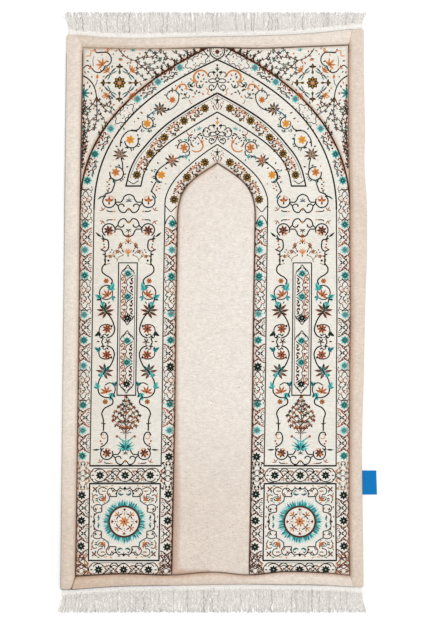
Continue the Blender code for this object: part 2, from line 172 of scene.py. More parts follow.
# A closed clockwise loop moved inwards, mitred at its corners
def insetLoop(loop, distance):
    normals = []
    for edge in (loop - np.roll(loop, 1, axis=0), np.roll(loop, -1, axis=0) - loop):
        edge = edge / np.linalg.norm(edge, axis=1)[:, None]
        normals.append(np.stack((edge[:, 1], -edge[:, 0]), 1))
    joint = normals[0] + normals[1]
    scale = np.maximum(1 + (normals[0] * normals[1]).sum(1), 0.4)
    return loop + distance * joint / scale[:, None]


# Distance along a polyline at each of its points
def travelled(points):
    return np.concatenate(([0], np.cumsum(np.linalg.norm(np.diff(points, axis=0), axis=1))))


# Points at even steps along a polyline
def evenly(points, step):
    points = np.asarray(points, float)
    run = travelled(points)
    places = np.linspace(0, run[-1], max(2, round(run[-1] / step) + 1))
    return np.stack([np.interp(places, run, points[:, i]) for i in range(points.shape[1])], 1)


# Smooth curve through given points, read at even steps
def flowing(points, step=2.2):
    points = np.asarray(points, float)
    run = travelled(points)
    places = np.linspace(0, run[-1], max(3, round(run[-1] / step) + 1))
    return smoothAt(run, points, places)


# Drawing the print, in millimetres; a drawing is a list of (polygons, ink)

ink = {
    "ground": "#efece3", "slate": "#1b1a1a", "black": "#0f0f0e", "brown": "#452413", "rust": "#a9562f",
    "russet": "#70321f", "orange": "#d08540", "gold": "#e09a2c", "peach": "#dfa279", "tan": "#b98c62",
    "olive": "#7a6729", "moss": "#352a12", "teal": "#268c8c", "aqua": "#58c0bb", "mist": "#a9d6d8",
    "petrol": "#12505c", "green": "#173528", "leaf": "#2f4d39", "steel": "#3b5b70", "grey": "#6a6661",
    "pink": "#c88a8c", "red": "#93251f", "rule": "#4a3f3a",
}


penWeight = 1.4          # how heavy every line is drawn


# Arc of a circle, or a spiral where the radius changes, angles in degrees
def arc(middle, radius, start, end, endRadius=None, step=2.2):
    reach = abs(end - start) * math.pi / 180 * max(radius, endRadius or 0)
    part = np.linspace(0, 1, max(4, round(reach / step) + 1))
    angle = np.radians(start + (end - start) * part)
    r = radius + ((radius if endRadius is None else endRadius) - radius) * part
    return np.stack((middle[0] + r * np.cos(angle), middle[1] + r * np.sin(angle)), 1)


# A drawn line: quads side by side along the path, its width blending from root to tip
def line(path, width, colour="slate", tip=None):
    width, tip = width * penWeight, None if tip is None else tip * penWeight
    path = np.asarray(path, float)
    run = np.gradient(path, axis=0)
    run /= np.maximum(np.linalg.norm(run, axis=1)[:, None], 1e-9)
    across = np.stack((run[:, 1], -run[:, 0]), 1)
    half = np.linspace(width, width if tip is None else tip, len(path))[:, None] / 2
    right, left = path + across * half, path - across * half
    return [(np.stack((right[:-1], right[1:], left[1:], left[:-1]), 1), colour)]


# A straight or bent line through its corners, and a smooth line through given points
def ruled(points, step, width, colour="slate", tip=None):
    return line(evenly(points, step), width, colour, tip)


# A line of one width, or one that narrows to its tip
def curve(points, width, colour="slate", tip=None, step=2.2):
    return line(flowing(points, step), width, colour, tip)


# A leaf up +Y from its root: the sides swell as a sine, the rib bends as the square of the way along
def leaf(length, width, colour, x=0, y=0, turn=0, bend=0):
    count = 2 if length < 6 else 3 if length < 12 else 5
    part = np.linspace(0, 1, count + 2)
    half = width / 2 * np.sin(math.pi * part ** 0.85)[1:-1]
    rib = np.stack((bend * part ** 2, length * part), 1)
    side = np.stack((half, 0 * half), 1)
    ring = np.concatenate((rib[:1], rib[1:-1] + side, rib[-1:], (rib[1:-1] - side)[::-1]))
    return place([(ring[None], colour)], x, y, turn)


# Closed outline round the middle, r = radius·(1 − depth·wave): lobes have round tips, or sharp ones
def bloom(radius, petals, depth, colour, sharp=False, turn=0.0):
    count = petals * (4 if radius > 5 else 2)
    angle = np.arange(count) / count * 2 * math.pi
    wave = np.abs(np.sin(petals * angle / 2)) if sharp else 1 - np.abs(np.cos(petals * angle / 2))
    r = radius * (1 - depth * wave)
    angle = angle + math.radians(turn)
    return [(np.stack((r * np.cos(angle), r * np.sin(angle)), 1)[None], colour)]


# A plain round spot
def spot(radius, colour, x=0, y=0):
    count = 6 if radius < 2.2 else 9
    angle = np.arange(count) / count * 2 * math.pi
    return [(np.stack((x + radius * np.cos(angle), y + radius * np.sin(angle)), 1)[None], colour)]


# Small spots of one size from rows of x, y and ink
def spots(radius, rows):
    return sum((spot(radius, colour, x, y) for x, y, colour in rows), [])


# A drawing turned, sized, mirrored and set down
def place(art, x=0, y=0, turn=0, size=1.0, mirror=False):
    cos, sin = size * math.cos(math.radians(turn)), size * math.sin(math.radians(turn))
    placed = []
    for polygons, colour in art:
        right, up = polygons[..., 0] * (-1 if mirror else 1), polygons[..., 1]
        placed.append((np.stack((right * cos - up * sin + x, right * sin + up * cos + y), -1), colour))
    return placed


# A drawing with its mirror image across the upright through x
def both(art, x=0.0):
    return art + place(art, 2 * x, mirror=True)


# A drawing repeated round the middle
def around(art, count, start=0.0):
    return sum((place(art, 0, 0, start + 360 * k / count) for k in range(count)), [])


# A drawing bent along a path: its +Y follows the path from a place on it, its +X points to the right
def along(path, start, art):
    path = evenly(path, 2.0)
    run = np.gradient(path, axis=0)
    run /= np.linalg.norm(run, axis=1)[:, None]
    way = travelled(path)
    bent = []
    for polygons, colour in art:
        x, y, dx, dy = (np.interp(start + polygons[..., 1], way, a) for a in (*path.T, *run.T))
        side = polygons[..., 0]
        bent.append((np.stack((x + side * dy, y - side * dx), -1), colour))
    return bent


# Flowers and leaves

# petal, its bright end, vein and heart, eye of the bands' rosettes
blossoms = {
    "teal": ("teal", "aqua", "green", "mist"),
    "pale": ("aqua", "mist", "steel", "peach"),
    "dark": ("black", "black", "green", "ground"),
}


# Round scalloped flower with veins between its petals and a small eye
def rosette(radius, kind):
    petal, end, vein, eye = blossoms[kind]
    art = around(leaf(radius * 0.96, radius * 0.52, petal, 0, radius * 0.1), 8)
    art += around(leaf(radius * 0.62, radius * 0.36, end, 0, radius * 0.44), 4, 45)
    art += around(leaf(radius * 0.36, radius * 0.26, end, 0, radius * 0.62), 4)
    art += around(leaf(radius * 0.56, radius * 0.17, vein, 0, radius * 0.12), 8)
    return art + spot(radius * 0.24, vein) + spot(radius * 0.12, eye)


# Sharp-petalled olive flower with a lighter heart
def oliveRosette(radius, petals=9):
    art = around(leaf(radius * 0.8, radius * 0.56, "moss", 0, radius * 0.2), petals)
    art += around(leaf(radius * 0.5, radius * 0.24, "olive", 0, radius * 0.36), petals)
    art += around(leaf(radius * 0.3, radius * 0.1, "gold", 0, radius * 0.5), petals)
    return art + spot(radius * 0.32, "black") + spot(radius * 0.14, "tan")


# Open flower of separate pointed petals round a small eye
def starFlower(radius, petals, colour, eye, width=0.46):
    petal = leaf(radius * 0.9, radius * width, colour, 0, radius * 0.12)
    petal += leaf(radius * 0.5, radius * width * 0.3, eye, 0, radius * 0.16)
    return around(petal, petals, 12) + spot(radius * 0.22, eye)


# Fan of petals on a calyx, opening up +Y
def lily(size, petal, calyx, petals=5, spread=140):
    art = []
    for turn in np.linspace(-spread / 2, spread / 2, petals):
        length, bend = (size * (1 - 0.0012 * abs(turn)), -turn * size * 0.001)
        art += leaf(length, size * 0.26, petal, 0, 0, -turn, bend=bend)
        art += leaf(length * 0.55, size * 0.08, calyx, 0, 0, -turn, bend=bend * 0.5)
    return art + leaf(size * 0.45, size * 0.26, calyx, 0, -size * 0.2)


# Long-fingered palm leaf opening both ways from a heart
def palmette(size, finger, heart, tip):
    art = line([(0, -size * 0.4), (0, size * 0.4)], size * 0.09, heart)
    for turn, reach, root, tone in ((38, 0.8, 0.24, heart), (72, 1.05, 0.1, finger),
            (104, 1.1, -0.04, finger), (138, 0.85, -0.18, finger)):
        petal = leaf(size * reach, size * 0.32, tone, 0, size * root, turn, bend=size * 0.1)
        petal += leaf(size * reach * 0.6, size * 0.1, tip, 0, size * root, turn, bend=size * 0.05)
        art += both(petal)
    return art + leaf(size * 0.66, size * 0.26, heart, 0, -size * 0.25)


# Broad leaf with a dark half and a small leaf beside it
def twinLeaf(size, light, dark):
    art = leaf(size * 0.85, size * 0.4, dark, 0, 0, 46) + leaf(size * 0.6, size * 0.3, light, 0, 0, -48)
    art += leaf(size * 1.2, size * 0.56, light, bend=size * 0.08)
    return art + leaf(size, size * 0.2, dark, 0, 0, -7, bend=size * 0.12)


# Three leaves on a short stalk
def trefoil(size, colour, stalk="leaf"):
    art = line([(0, 0), (0, size * 0.5)], size * 0.14, stalk)
    for turn in (-70, 0, 70):
        art += leaf(size * 0.58, size * 0.3, colour, 0, size * 0.42, turn)
    return art


# Loose leaflets from rows of x, y, turn and ink
def leaflets(rows, length=6.4, width=3.2):
    return sum((leaf(length, width, colour, x, y, turn) for x, y, turn, colour in rows), [])


# A drawing turned upside down across the level line through the middle, and both together
def flipped(art):
    return [(polygons * (1, -1), colour) for polygons, colour in art]


# A drawing with its mirror image across the level line
def upAndDown(art):
    return art + flipped(art)


# A stem with small leaves set along it in turn, left and right
def leafyStem(path, spacing, size, colours, stem="leaf", width=1.1, seed=1):
    chance = np.random.default_rng(seed)
    path = flowing(path)
    art = line(path, width, stem, width * 0.7)
    way = travelled(path)
    turn = np.degrees(np.unwrap(np.arctan2(*np.gradient(path, axis=0).T[::-1]))) - 90
    for k, root in enumerate(np.arange(spacing * 0.6, way[-1], spacing)):
        at = np.array([np.interp(root, way, path[:, i]) for i in (0, 1)])
        side = 58 if k % 2 else -58
        angle = np.interp(root, way, turn) + side + chance.uniform(-14, 14)
        motif = trefoil(size * chance.uniform(0.8, 1.15), colours[chance.integers(len(colours))], stem)
        art += place(motif, *at, angle)
        bud = leaf(size * 0.5, size * 0.28, ("russet", "brown", "teal", "rust")[chance.integers(4)])
        art += place(bud, *at, angle - 1.9 * side)
    end = trefoil(size * 1.15, colours[-1], stem)
    return art + place(end, *path[-1], turn[-1])


# The bands of rosettes

bands = {
    "pitch": (55.0, 57.0),     # mm between the rosettes of a group of three, outer band and inner band
    "group": 195.0,            # and between the groups
    "first": 118.0,            # the lowest group's height
    "outer": 280.5,            # middle of the band beside the side seam
    "inner": 94.5,             # and of the band beside the niche
    "across": (216.0, 12.0),   # heights of the two bands that run across a leg
    "legMiddle": 188.0,
    "rosette": 9.6,
}


# What fills the space between two rosettes, the seam at +X: a scallop from the rule out to the seam and
# back, hooks round each flower and a bow of leaflets on the ruled side
def bandKnot(scallop="russet", dark="black"):
    half = curve([(-15, 20), (-9, 18), (-4, 11), (2, 6), (6.5, 0)], 1.8, scallop, 1.6, step=3)
    half += line(arc((-0.5, 17.5), 4.4, 180, 345, step=1.8), 1.3, "brown")
    half += curve([(11, 23), (8, 16), (11.5, 9), (9, 0)], 1.6, "rust" if scallop == "russet" else "brown")
    half += curve([(-15, 9), (-11, 12), (-8, 8), (-10, 4)], 1.1, tip=0.8)
    half += leaflets(((-5, 0.4, 60, dark), (-5, 0.4, -60, dark), (-1, 9, -25, "brown"), (5, 9, 140, "brown")),
        7, 3.5)
    half += leaflets(((9, 15, 25, "russet"), (-10, 16, 110, "rust"), (3, 15, -70, dark), (6, 21, -20, "tan")),
        5, 2.6)
    half += spot(1.6, "rust", 3.5, 13) + spot(1.5, "red", -12, 6) + spot(1.5, "tan", -13, 15)
    return upAndDown(half)


# The long stepped cartouche that parts two groups: straps cross at its ends, a leafy wave inside
def bandCartouche(waves=True):
    edge = flowing([(0, 29), (-4.5, 26), (-6, 20), (-12, 17.5), (-13.5, 12), (-9.5, 8), (-9.5, 3), (-13, 0)],
        3)
    half = both(line(edge, 1.3)) + spot(1.5, "brown", 0, 33)
    half += leaflets(((-10, 26, 60, "brown"), (11, 25, -60, "rust"), (-12, 36, 20, "grey"),
        (4, 36, -50, "tan")), 5.2, 2.6)
    half += spot(1.4, "teal", -11, 22) + spot(1.4, "rust", 12, 20) + spot(1.3, "peach", -3, 37)
    inner = leaflets(((2, 13, -60, "brown"), (-4, 9, 50, "peach"), (-1, -3, 120, "teal"),
        (-3, -12, 30, "russet"), (3, -8, -70, "brown"), (5, 3, 20, "tan")), 5.6, 2.7)
    if waves:
        half += both(curve([(0, 29), (6, 33), (13, 30), (15, 36)], 1.4, "brown", 1.0))
        half += line(arc((0, 43), 10.5, 225, 315), 1.2)
        inner += curve([(4, 20), (-3, 11), (3, 2), (-4, -8), (3, -19)], 1.2, "brown")
        inner += leaflets(((-1, 12, 60, "rust"), (-3, 8, 130, "black"), (1, 5, -50, "tan"),
            (4, 1, -100, "brown"), (3, 0, 60, "moss"), (-2, -12, -70, "brown"), (1, -14, 100, "rust"),
            (4, -16, -40, "black"), (-5, 15, 20, "tan"), (6, 8, -20, "peach"), (5, -8, 200, "tan"),
            (-7, -1, 160, "brown"), (-6, -14, 170, "peach"), (-7, 4, 10, "rust")), 5.6, 2.7)
    return upAndDown(half) + inner


# One band up a leg: groups of three rosettes, knots between them, a cartouche between the groups
def legBand(middle, seamSide, pitch, dark, cartouches):
    path = [(middle, 0), (middle, 900)]
    flip = seamSide < 0
    art = []
    for group in range(4):
        centre = bands["first"] + group * bands["group"]
        for k in (-1, 0, 1):
            kind = "dark" if group * 3 + k + 1 in dark else "pale" if (group + k) % 2 else "teal"
            art += along(path, centre + k * pitch, rosette(bands["rosette"], kind))
        for k, scallop in ((-0.5, "russet"), (0.5, "rust" if group % 2 else "brown")):
            art += along(path, centre + k * pitch, place(bandKnot(scallop), mirror=flip))
        if group in cartouches:
            art += along(path, centre + bands["group"] / 2, place(bandCartouche(), mirror=flip))
    return art + along(path, bands["first"] - 1.5 * pitch, place(bandKnot("brown"), mirror=flip))


# Band across a leg, above or below the square: dark rosettes under scalloped arcs
def crossBand(height):
    art = []
    for x in (-54, 0, 54):
        art += place(rosette(9.4, "dark"), x, 0)
        arcs = line(arc((0, 0), 13.4, 30, 150), 1.8, "brown", 1.3)
        arcs += line(arc((0, 0), 13.4, 210, 325), 1.6, "black", 1.1)
        art += place(arcs, x, 0)
    gap = place(bandKnot("brown"), 0, 0, 90, size=0.84)
    gap += curve([(-16, 8), (-9, 14.5), (0, 12), (3, 6)], 1.9, "black", 1.4) + spot(1.8, "rust", 7, 9)
    gap += curve([(15, -8), (8, -14), (-1, -13), (-4, -7)], 1.9, "brown", 1.4) + spot(1.8, "russet", -9, -9)
    gap += leaflets(((-3, 6, -80, "black"), (4, -6, 95, "brown"), (8, 4, -20, "tan"), (-8, -4, 160, "tan")),
        8, 3.8)
    for x in (-27, 27):
        art += place(gap, x, 0)
    end = ruled([(56, 15), (67, 15), (75, 5), (75, -5), (67, -15), (56, -15)], 4, 1.5)
    end += curve([(88, 12), (82, 6), (76, 0), (82, -6), (88, -12)], 1.6, "brown") + spot(1.6, "rust", 70, 9)
    end += spot(1.6, "brown", 70, -9) + leaf(7, 3, "brown", 66, 0, -90)
    rules = ruled([(-56, 15), (56, 15)], 5, 0.8) + ruled([(-56, -15), (56, -15)], 5, 0.8)
    return place(art + both(end) + rules, bands["legMiddle"], height)


# Open knots where the bands cross, in black strapwork
def crossing(at, dark, light, accent):
    quarter = curve([(0, 31), (5, 27), (4, 20), (10, 16), (13, 9), (8, 4), (0, 0)], 1.2, dark)
    quarter += curve([(15, 28), (9, 24), (8, 18)], 1.1, light)
    quarter += line(arc((0, 9), 3.4, 10, 90, step=1.8), 1.0, light)
    quarter += curve([(3, 9), (8, 8), (15, 1)], 1.1, dark)
    quarter += line(arc((11.5, 23), 3.2, -60, 200, step=1.8), 1.0, light)
    quarter += leaflets(((3, 5, -65, dark), (8, 12, 20, light), (1, 22, -40, dark), (13, 14, -150, accent),
        (7, 29, -100, light), (12, 3, -20, "tan")), 7.2, 3.5)
    quarter += spot(1.4, accent, 13, 8) + spot(1.4, accent, 4, 30) + spot(1.3, light, 7, 9)
    return place(upAndDown(both(quarter)), *at)


# The arches

# half width, springing height, rise of the haunch, reach of the crown, crown slope, apex height, in mm
arches = {
    "niche": (84, 774, 72, 47, 34.0, 891),
    "outer": (292, 797, 159, 186, 24.9, 1150),
    "second": (262, 790, 146, 181, 23.9, 1114),
}
# half width and height of the straight-sided inner arches, springing to apex
bentArches = {
    "nicheBand": ((111, 740), (111, 765), (111, 790), (110, 815), (103, 835), (90, 856), (57, 889), (24, 915),
                  (0, 931)),
    "thirdInner": ((163, 841), (157, 868), (143, 896), (130, 912), (114, 927), (60, 965), (0, 1001)),
    "thirdOuter": ((195, 841), (185, 879), (171, 907), (155, 927), (137, 948), (114, 970), (60, 1008),
                   (0, 1042)),
}


# One half of a pointed arch, springing to apex: a cubic that starts upright and ends on the crown's slope
def archHalf(name, count=60):
    width, spring, haunch, crown, slope, apex = arches[name]
    part = np.linspace(0, 1, count)[:, None]
    rest = 1 - part
    lean = np.array((crown, apex - crown * math.tan(math.radians(slope))))
    lower = rest ** 3 * np.array((width, spring)) + 3 * rest ** 2 * part * np.array((width, spring + haunch))
    return lower + 3 * rest * part ** 2 * lean + part ** 3 * np.array((0, apex))


# A bent arch as a smooth line
def bentHalf(name):
    return flowing(bentArches[name], 5)


# The small fountain at the apex of an arched band
def apexMotif():
    art = spot(1.9, "rust", 0, 13) + leaf(9, 6, "green", 0, 2) + spot(2.4, "brown", 0, 2)
    art += both(leaf(7, 2.6, "green", 1, 6, -75) + spot(1.4, "red", 10, 9))
    art += both(curve([(1, 0), (3.4, -5), (2.4, -10), (0, -14)], 1.0))
    art += both(curve([(5, -14), (9, -8), (6, -3), (10, 1), (14, -2)], 1.3, "rust", 0.9))
    return art + both(spot(1.4, "brown", 13, 4) + leaf(6, 3, "russet", 8, -10, -20))


# Ochre curls and dark leaflets between the olive rosettes
def oliveKnot():
    art = leaflets(((4, 13, 200, "peach"), (8, 4, 170, "peach"), (-3, -2, 30, "tan"),
        (4, -14, 20, "peach"), (-8, 8, 190, "tan")), 9, 4)
    art += curve([(9, 16), (5, 10), (9, 4), (4, -2), (8, -8), (5, -15)], 1.3, "rust", 0.9)
    art += line(arc((-4, 2), 3.6, -60, 230, step=1.8), 1.2, "brown")
    art += curve([(-9, 14), (-5, 9), (-8, 4)], 1.2, "black")
    art += curve([(-9, -14), (-5, -9), (-9, -3)], 1.2, "brown")
    art += leaflets(((-2, -3, 30, "black"), (-5, -8, 85, "green"), (-3, 7, -20, "black"),
        (-8, -2, 150, "brown"), (0, 3, -70, "brown"), (5, -9, -40, "rust"), (5, 9, 40, "brown"),
        (0, -12, 60, "brown"), (2, 12, 100, "black"), (-7, 12, 10, "brown"), (7, 1, -120, "moss"),
        (2, -7, 140, "black"), (8, -13, 10, "russet"), (-1, 15, -60, "russet"), (10, 6, -30, "brown"),
        (9, -4, 200, "brown"), (4, 0, 10, "russet"), (9, 13, 60, "moss"), (-10, -9, 40, "moss"),
        (4, -17, -80, "brown"), (3, 17, 30, "gold")), 6, 3.1)
    art += spots(1.5, ((9, 0, "gold"), (4, 3, "rust"), (-9, 7, "rust"), (1, 9, "orange"),
        (9, -12, "olive"), (-1, -16, "rust"), (10, 9, "rust"), (-10, -5, "black"), (0, 16, "brown"),
        (-9, -10, "gold")))
    return art


# Rust, green and red bits between the teal rosettes of the outer arch
def archKnot():
    art = leaflets(((-3, 12, 30, "tan"), (6, -3, 200, "peach"), (-5, -10, 160, "mist")), 9, 4)
    art += curve([(9, 18), (5, 10), (9, 3), (5, -5), (9, -12), (5, -18)], 1.4, "rust", 1.1)
    art += curve([(-10, 16), (-6, 10), (-11, 3), (-7, -5), (-10, -13)], 1.2)
    for y in (-9, 8):
        art += line(arc((-3, y), 3.4, -60, 230, step=1.8), 1.3)
        art += leaflets(((-5, y - 5, 70, "black"), (-3, y + 3, 20, "green")), 6.2, 3)
    art += leaflets(((0, 0, -40, "black"), (-2, 0, 60, "green"), (2, 4, -80, "russet"),
        (1, -14, -30, "brown"), (0, 15, -60, "black"), (-6, 14, 80, "teal"), (-5, -15, 130, "green"),
        (3, -5, -120, "brown"), (8, 12, 160, "brown"), (8, -9, 20, "moss"), (3, 19, -100, "russet"),
        (3, -19, 60, "black")), 6.4, 3.2)
    art += spots(1.6, ((-8, -3, "red"), (10, -4, "red"), (4, 9, "rust"), (-9, 8, "pink"), (1, -9, "rust"),
        (10, 9, "olive"), (-1, 19, "rust"), (-9, -12, "teal"), (0, -19, "red")))
    return art


# A drawing set on the arch, turned so that its +Y follows the line between two places
def onSlope(art, start, end, part=0.5):
    (x0, y0), (x1, y1) = (start, end)
    turn = math.degrees(math.atan2(y1 - y0, x1 - x0)) - 90
    return place(art, x0 + (x1 - x0) * part, y0 + (y1 - y0) * part, turn)


archFlowers = {
    "niche": ((92, 812), (65, 860), (27, 892)),
    "third": ((172, 865), (144, 911), (114, 946), (72, 982), (27, 1009)),
    "outer": ((277, 853), (262, 910), (229, 965), (172, 1029), (128, 1066), (81, 1097)),
}


# All the arches' lines and bands on one half
def archDrawing():
    outer, second = archHalf("outer"), archHalf("second")
    art = ruled([(264, 235), (262, 790)], 6, 1.9, "rule") + ruled(second, 5, 2.5)
    art += ruled(outer, 5, 2.8, "brown") + ruled([(111, 236.6), (264, 236.6)], 6, 2.6)
    art += ruled([(111, 235), (111, 740)], 6, 1.9, "rule") + line(bentHalf("nicheBand"), 1.9)
    art += line(bentHalf("thirdInner"), 2.2) + line(bentHalf("thirdOuter"), 2.3, tip=2.9)
    art += ruled([(162, 841), (196.5, 841)], 5, 2.5)
    art += line(bentHalf("thirdOuter")[4:] - (4.2, 3.2), 0.8, "grey")
    art += ruled([(86, 798), (98, 784), (110, 798)], 4, 1.4)
    art += curve([(86, 758), (89, 767), (98, 777), (107, 767), (110, 758)], 1.5, step=3)
    art += ruled([(168, 853), (179, 845), (191, 853)], 4, 1.4)
    for name in ("niche", "third"):
        flowers = archFlowers[name]
        for at in flowers:
            art += place(oliveRosette(10.2), *at)
        for start, end in zip(flowers, flowers[1:]):
            art += onSlope(oliveKnot(), start, end)
    flowers = archFlowers["outer"]
    for k, at in enumerate(flowers):
        art += place(rosette(9.8, "pale" if k > 1 else "teal"), *at)
    for start, end in ((0, 1), (1, 2), (3, 4), (4, 5)):
        art += onSlope(archKnot(), flowers[start], flowers[end])
    reach = np.linalg.norm(np.diff(outer, axis=0), axis=1).sum()
    spray = leaflets(((3, -3, -50, "black"), (3, 3, -120, "brown"), (5, 0, -90, "black"),
        (3, 0, 10, "russet"), (3, 0, 170, "brown"), (9, -2, -30, "black"), (8, 3, -150, "moss")), 7, 3.4)
    for back in range(20, 150, 16):
        art += along(outer, reach - back, spray)
    middle = (outer + second) / 2
    way = travelled(middle)
    for at in ((202, 1000), (46, 1117)):
        near = way[np.argmin(np.linalg.norm(middle - at, axis=1))]
        art += along(middle, near, place(bandCartouche(False), size=0.94))
    return art


# The scrolls between the arches

# Curling stem that ends round a flower: a spiral from the outside in
def scroll(middle, radius, start, sweep, flower, colour="slate", width=2.0):
    art = line(arc(middle, radius, start, start + sweep, radius * 0.72), width, colour, width * 0.7)
    return art + place(flower, *middle)


# Small leaves along the outside of a curl, from one bearing to another
def curlLeaves(middle, radius, start, end, colours):
    rows = []
    for k, bearing in enumerate(np.arange(start, end, 27)):
        x, y = math.cos(math.radians(bearing)), math.sin(math.radians(bearing))
        lean = bearing - 90 + (35 if k % 2 else -35)
        rows.append((middle[0] + radius * x, middle[1] + radius * y, lean, colours[k % len(colours)]))
    return leaflets(rows, 6.6, 3.1)


# The upright ornament below each arch's point, with its loops and spirals
def fountain(stem, loopInk="slate"):
    art = spot(2.3, "brown", 0, 24) + leaf(13, 3.6, stem, 0, 9) + spot(1.5, stem, 0, 19)
    art += both(leaf(8, 2.4, stem, 0, 12, -35))
    art += both(leaf(9, 4.6, "slate", 3, 7, -62) + leaf(7.5, 3.6, "brown", 0, -2, -125))
    art += both(curve([(6, 2), (11, 9), (17, 8), (19, 2), (15, -2)], 1.4, loopInk))
    art += leaf(8, 4.2, "brown", 0, -2)
    art += both(curve([(0, -11), (6, -6), (14, -6), (19, -10), (13, -14), (6, -13), (0, -11)], 1.5,
        loopInk))
    art += both(curve([(0, -13), (2, -20), (7, -28), (14, -30), (18, -25), (15, -19), (9, -19)], 1.5,
        loopInk))
    return art + both(leaf(6, 3.8, "green", 7, -19, 200) + spot(2.0, "brown", 13, -31))


# The scrolls of the niche's surround
def scrollDrawing():
    # between the second arch and the third band
    art = curve([(19, 1077), (24, 1086), (34, 1091), (45, 1087), (51, 1076), (48, 1069)], 2.4, "orange",
        3.2)
    art += place(lily(11, "orange", "gold", 4, 110), 48, 1071, 200)
    art += curve([(30, 1062), (36, 1053), (44, 1055), (45, 1064)], 1.5)
    art += leaf(9, 4, "steel", 40, 1072, -20) + spot(2.1, "brown", 35, 1067)
    art += leaf(8, 4.4, "green", 40, 1060, 150) + spot(2.0, "black", 29, 1072)
    art += curve([(24, 1052), (19, 1047), (21, 1041), (16, 1037)], 1.8, "orange", 1.2)
    art += curve([(50, 1066), (57, 1060), (64, 1062), (60, 1053)], 1.6, "leaf")
    art += leaf(11, 4.6, "black", 61, 1059, 115) + leaf(8, 3.4, "teal", 64, 1062, 60)
    art += curve([(66, 1052), (70, 1060), (79, 1060), (87, 1053), (90, 1046)], 2.2, "orange", 2.8)
    art += place(lily(8, "orange", "gold", 3, 90), 66, 1054, 190)
    art += curve([(65, 1043), (69, 1036), (63, 1031), (59, 1037)], 1.4)
    art += leaf(9, 4, "green", 52, 1046, -60) + leaf(7, 3.6, "black", 72, 1036, 20)
    art += spot(1.7, "slate", 75, 1030) + curve([(60, 1027), (58, 1021), (54, 1018)], 1.5, "rust", 1.0)
    art += curve([(119, 1003), (106, 1005), (93, 1012), (84, 1026), (84, 1040), (95, 1048), (106, 1043),
        (109, 1034), (105, 1028)], 1.9, tip=1.5)
    art += place(starFlower(8.2, 8, "orange", "rust"), 97, 1027) + leaf(8, 3.4, "leaf", 96, 1047, -20)
    art += leaf(7, 4.4, "green", 108, 1005, 40)
    art += place(palmette(15, "brown", "slate", "tan"), 124, 1007, 60)
    art += curve([(127, 1006), (136, 1002), (145, 996), (152, 990)], 1.8, "steel")
    art += place(lily(9, "teal", "petrol", 3, 100), 140, 999, 100)
    art += place(lily(8, "teal", "steel", 3, 110), 151, 991, 120)
    art += scroll((151, 976), 14, 95, 300, starFlower(9.6, 6, "gold", "orange", 0.62))
    art += place(lily(7, "teal", "steel", 3, 100), 148, 962, 170)
    art += leaf(8, 3.2, "steel", 136, 973, -150)
    art += curve([(164, 972), (168, 965), (176, 961), (185, 962)], 2.0, "black")
    art += spot(2.4, "black", 174, 960) + leaf(7, 3, "pink", 165, 962, 150)
    art += curve([(176, 960), (190, 960), (201, 951), (207, 939), (208, 926)], 1.9)
    art += leaf(9, 3.4, "steel", 205, 945, 40) + leaf(7, 4, "slate", 203, 934, -60)
    art += line(arc((184, 938), 14.5, 160, 360), 1.9) + spot(2.2, "steel", 169, 944)
    art += place(starFlower(10, 6, "gold", "orange", 0.62), 187, 941) + spot(1.5, "grey", 184, 917)
    art += place(palmette(15.5, "brown", "grey", "tan"), 208, 909, 2)
    art += curve([(206, 901), (203, 890), (202, 878)], 1.9) + spot(2.0, "slate", 203, 877)
    art += line(arc((215, 868), 14.5, 75, 375), 2.0)
    art += place(starFlower(10, 6, "orange", "rust", 0.56), 217, 871)
    art += curve([(222, 855), (219, 848), (222, 836), (225, 829), (236, 824), (245, 817)], 2.0)
    art += spot(2.2, "black", 229, 857) + leaf(6, 3, "black", 226, 855, 60)
    art += leaflets(((233, 852, 60, "gold"), (232, 848, -60, "olive"), (233, 843, 60, "brown"),
        (232, 839, -60, "orange"), (233, 834, 60, "brown"), (232, 830, -50, "olive"),
        (234, 827, 30, "brown")), 6, 3.2)
    art += leaf(15, 3.6, "leaf", 243, 820, -118, bend=2) + leaf(8, 3.2, "steel", 240, 823, 60)
    for middle, radius, start, end in (((151, 976), 15, 100, 330), ((184, 938), 15.5, 170, 330),
            ((97, 1027), 16, 40, 170), ((215, 868), 15.5, 190, 300)):
        art += curlLeaves(middle, radius, start, end, ("leaf", "steel", "brown", "teal"))
    art += leaflets(((38, 1080, -30, "black"), (33, 1078, 40, "rust"), (27, 1066, 100, "brown"),
        (44, 1049, 200, "black"), (52, 1056, 60, "orange"), (74, 1046, -40, "black"), (80, 1042, 120, "leaf"),
        (62, 1048, 60, "brown"), (68, 1030, -70, "green"), (82, 1052, 20, "brown"), (55, 1032, 60, "orange"),
        (47, 1038, -20, "brown"), (113, 1012, 160, "brown"), (132, 1012, -20, "teal"),
        (160, 997, -50, "leaf"), (167, 986, -70, "brown"), (172, 954, 160, "steel"),
        (196, 925, 120, "brown"), (199, 962, -30, "leaf"), (213, 925, -60, "brown"), (196, 882, 80, "brown"),
        (207, 884, -60, "leaf"), (14, 1046, 20, "green"), (10, 1040, 100, "brown"), (28, 1038, -60, "rust"),
        (36, 1044, -100, "black")), 7, 3.3)
    art += spots(1.6, ((42, 1066, "rust"), (57, 1072, "leaf"), (77, 1066, "rust"), (90, 1058, "brown"),
        (112, 1022, "peach"), (143, 1006, "teal"), (166, 1000, "peach"), (178, 980, "rust"),
        (198, 974, "gold"), (222, 942, "peach"), (193, 905, "rust"), (222, 897, "peach"), (228, 884, "rust"),
        (198, 860, "brown")))
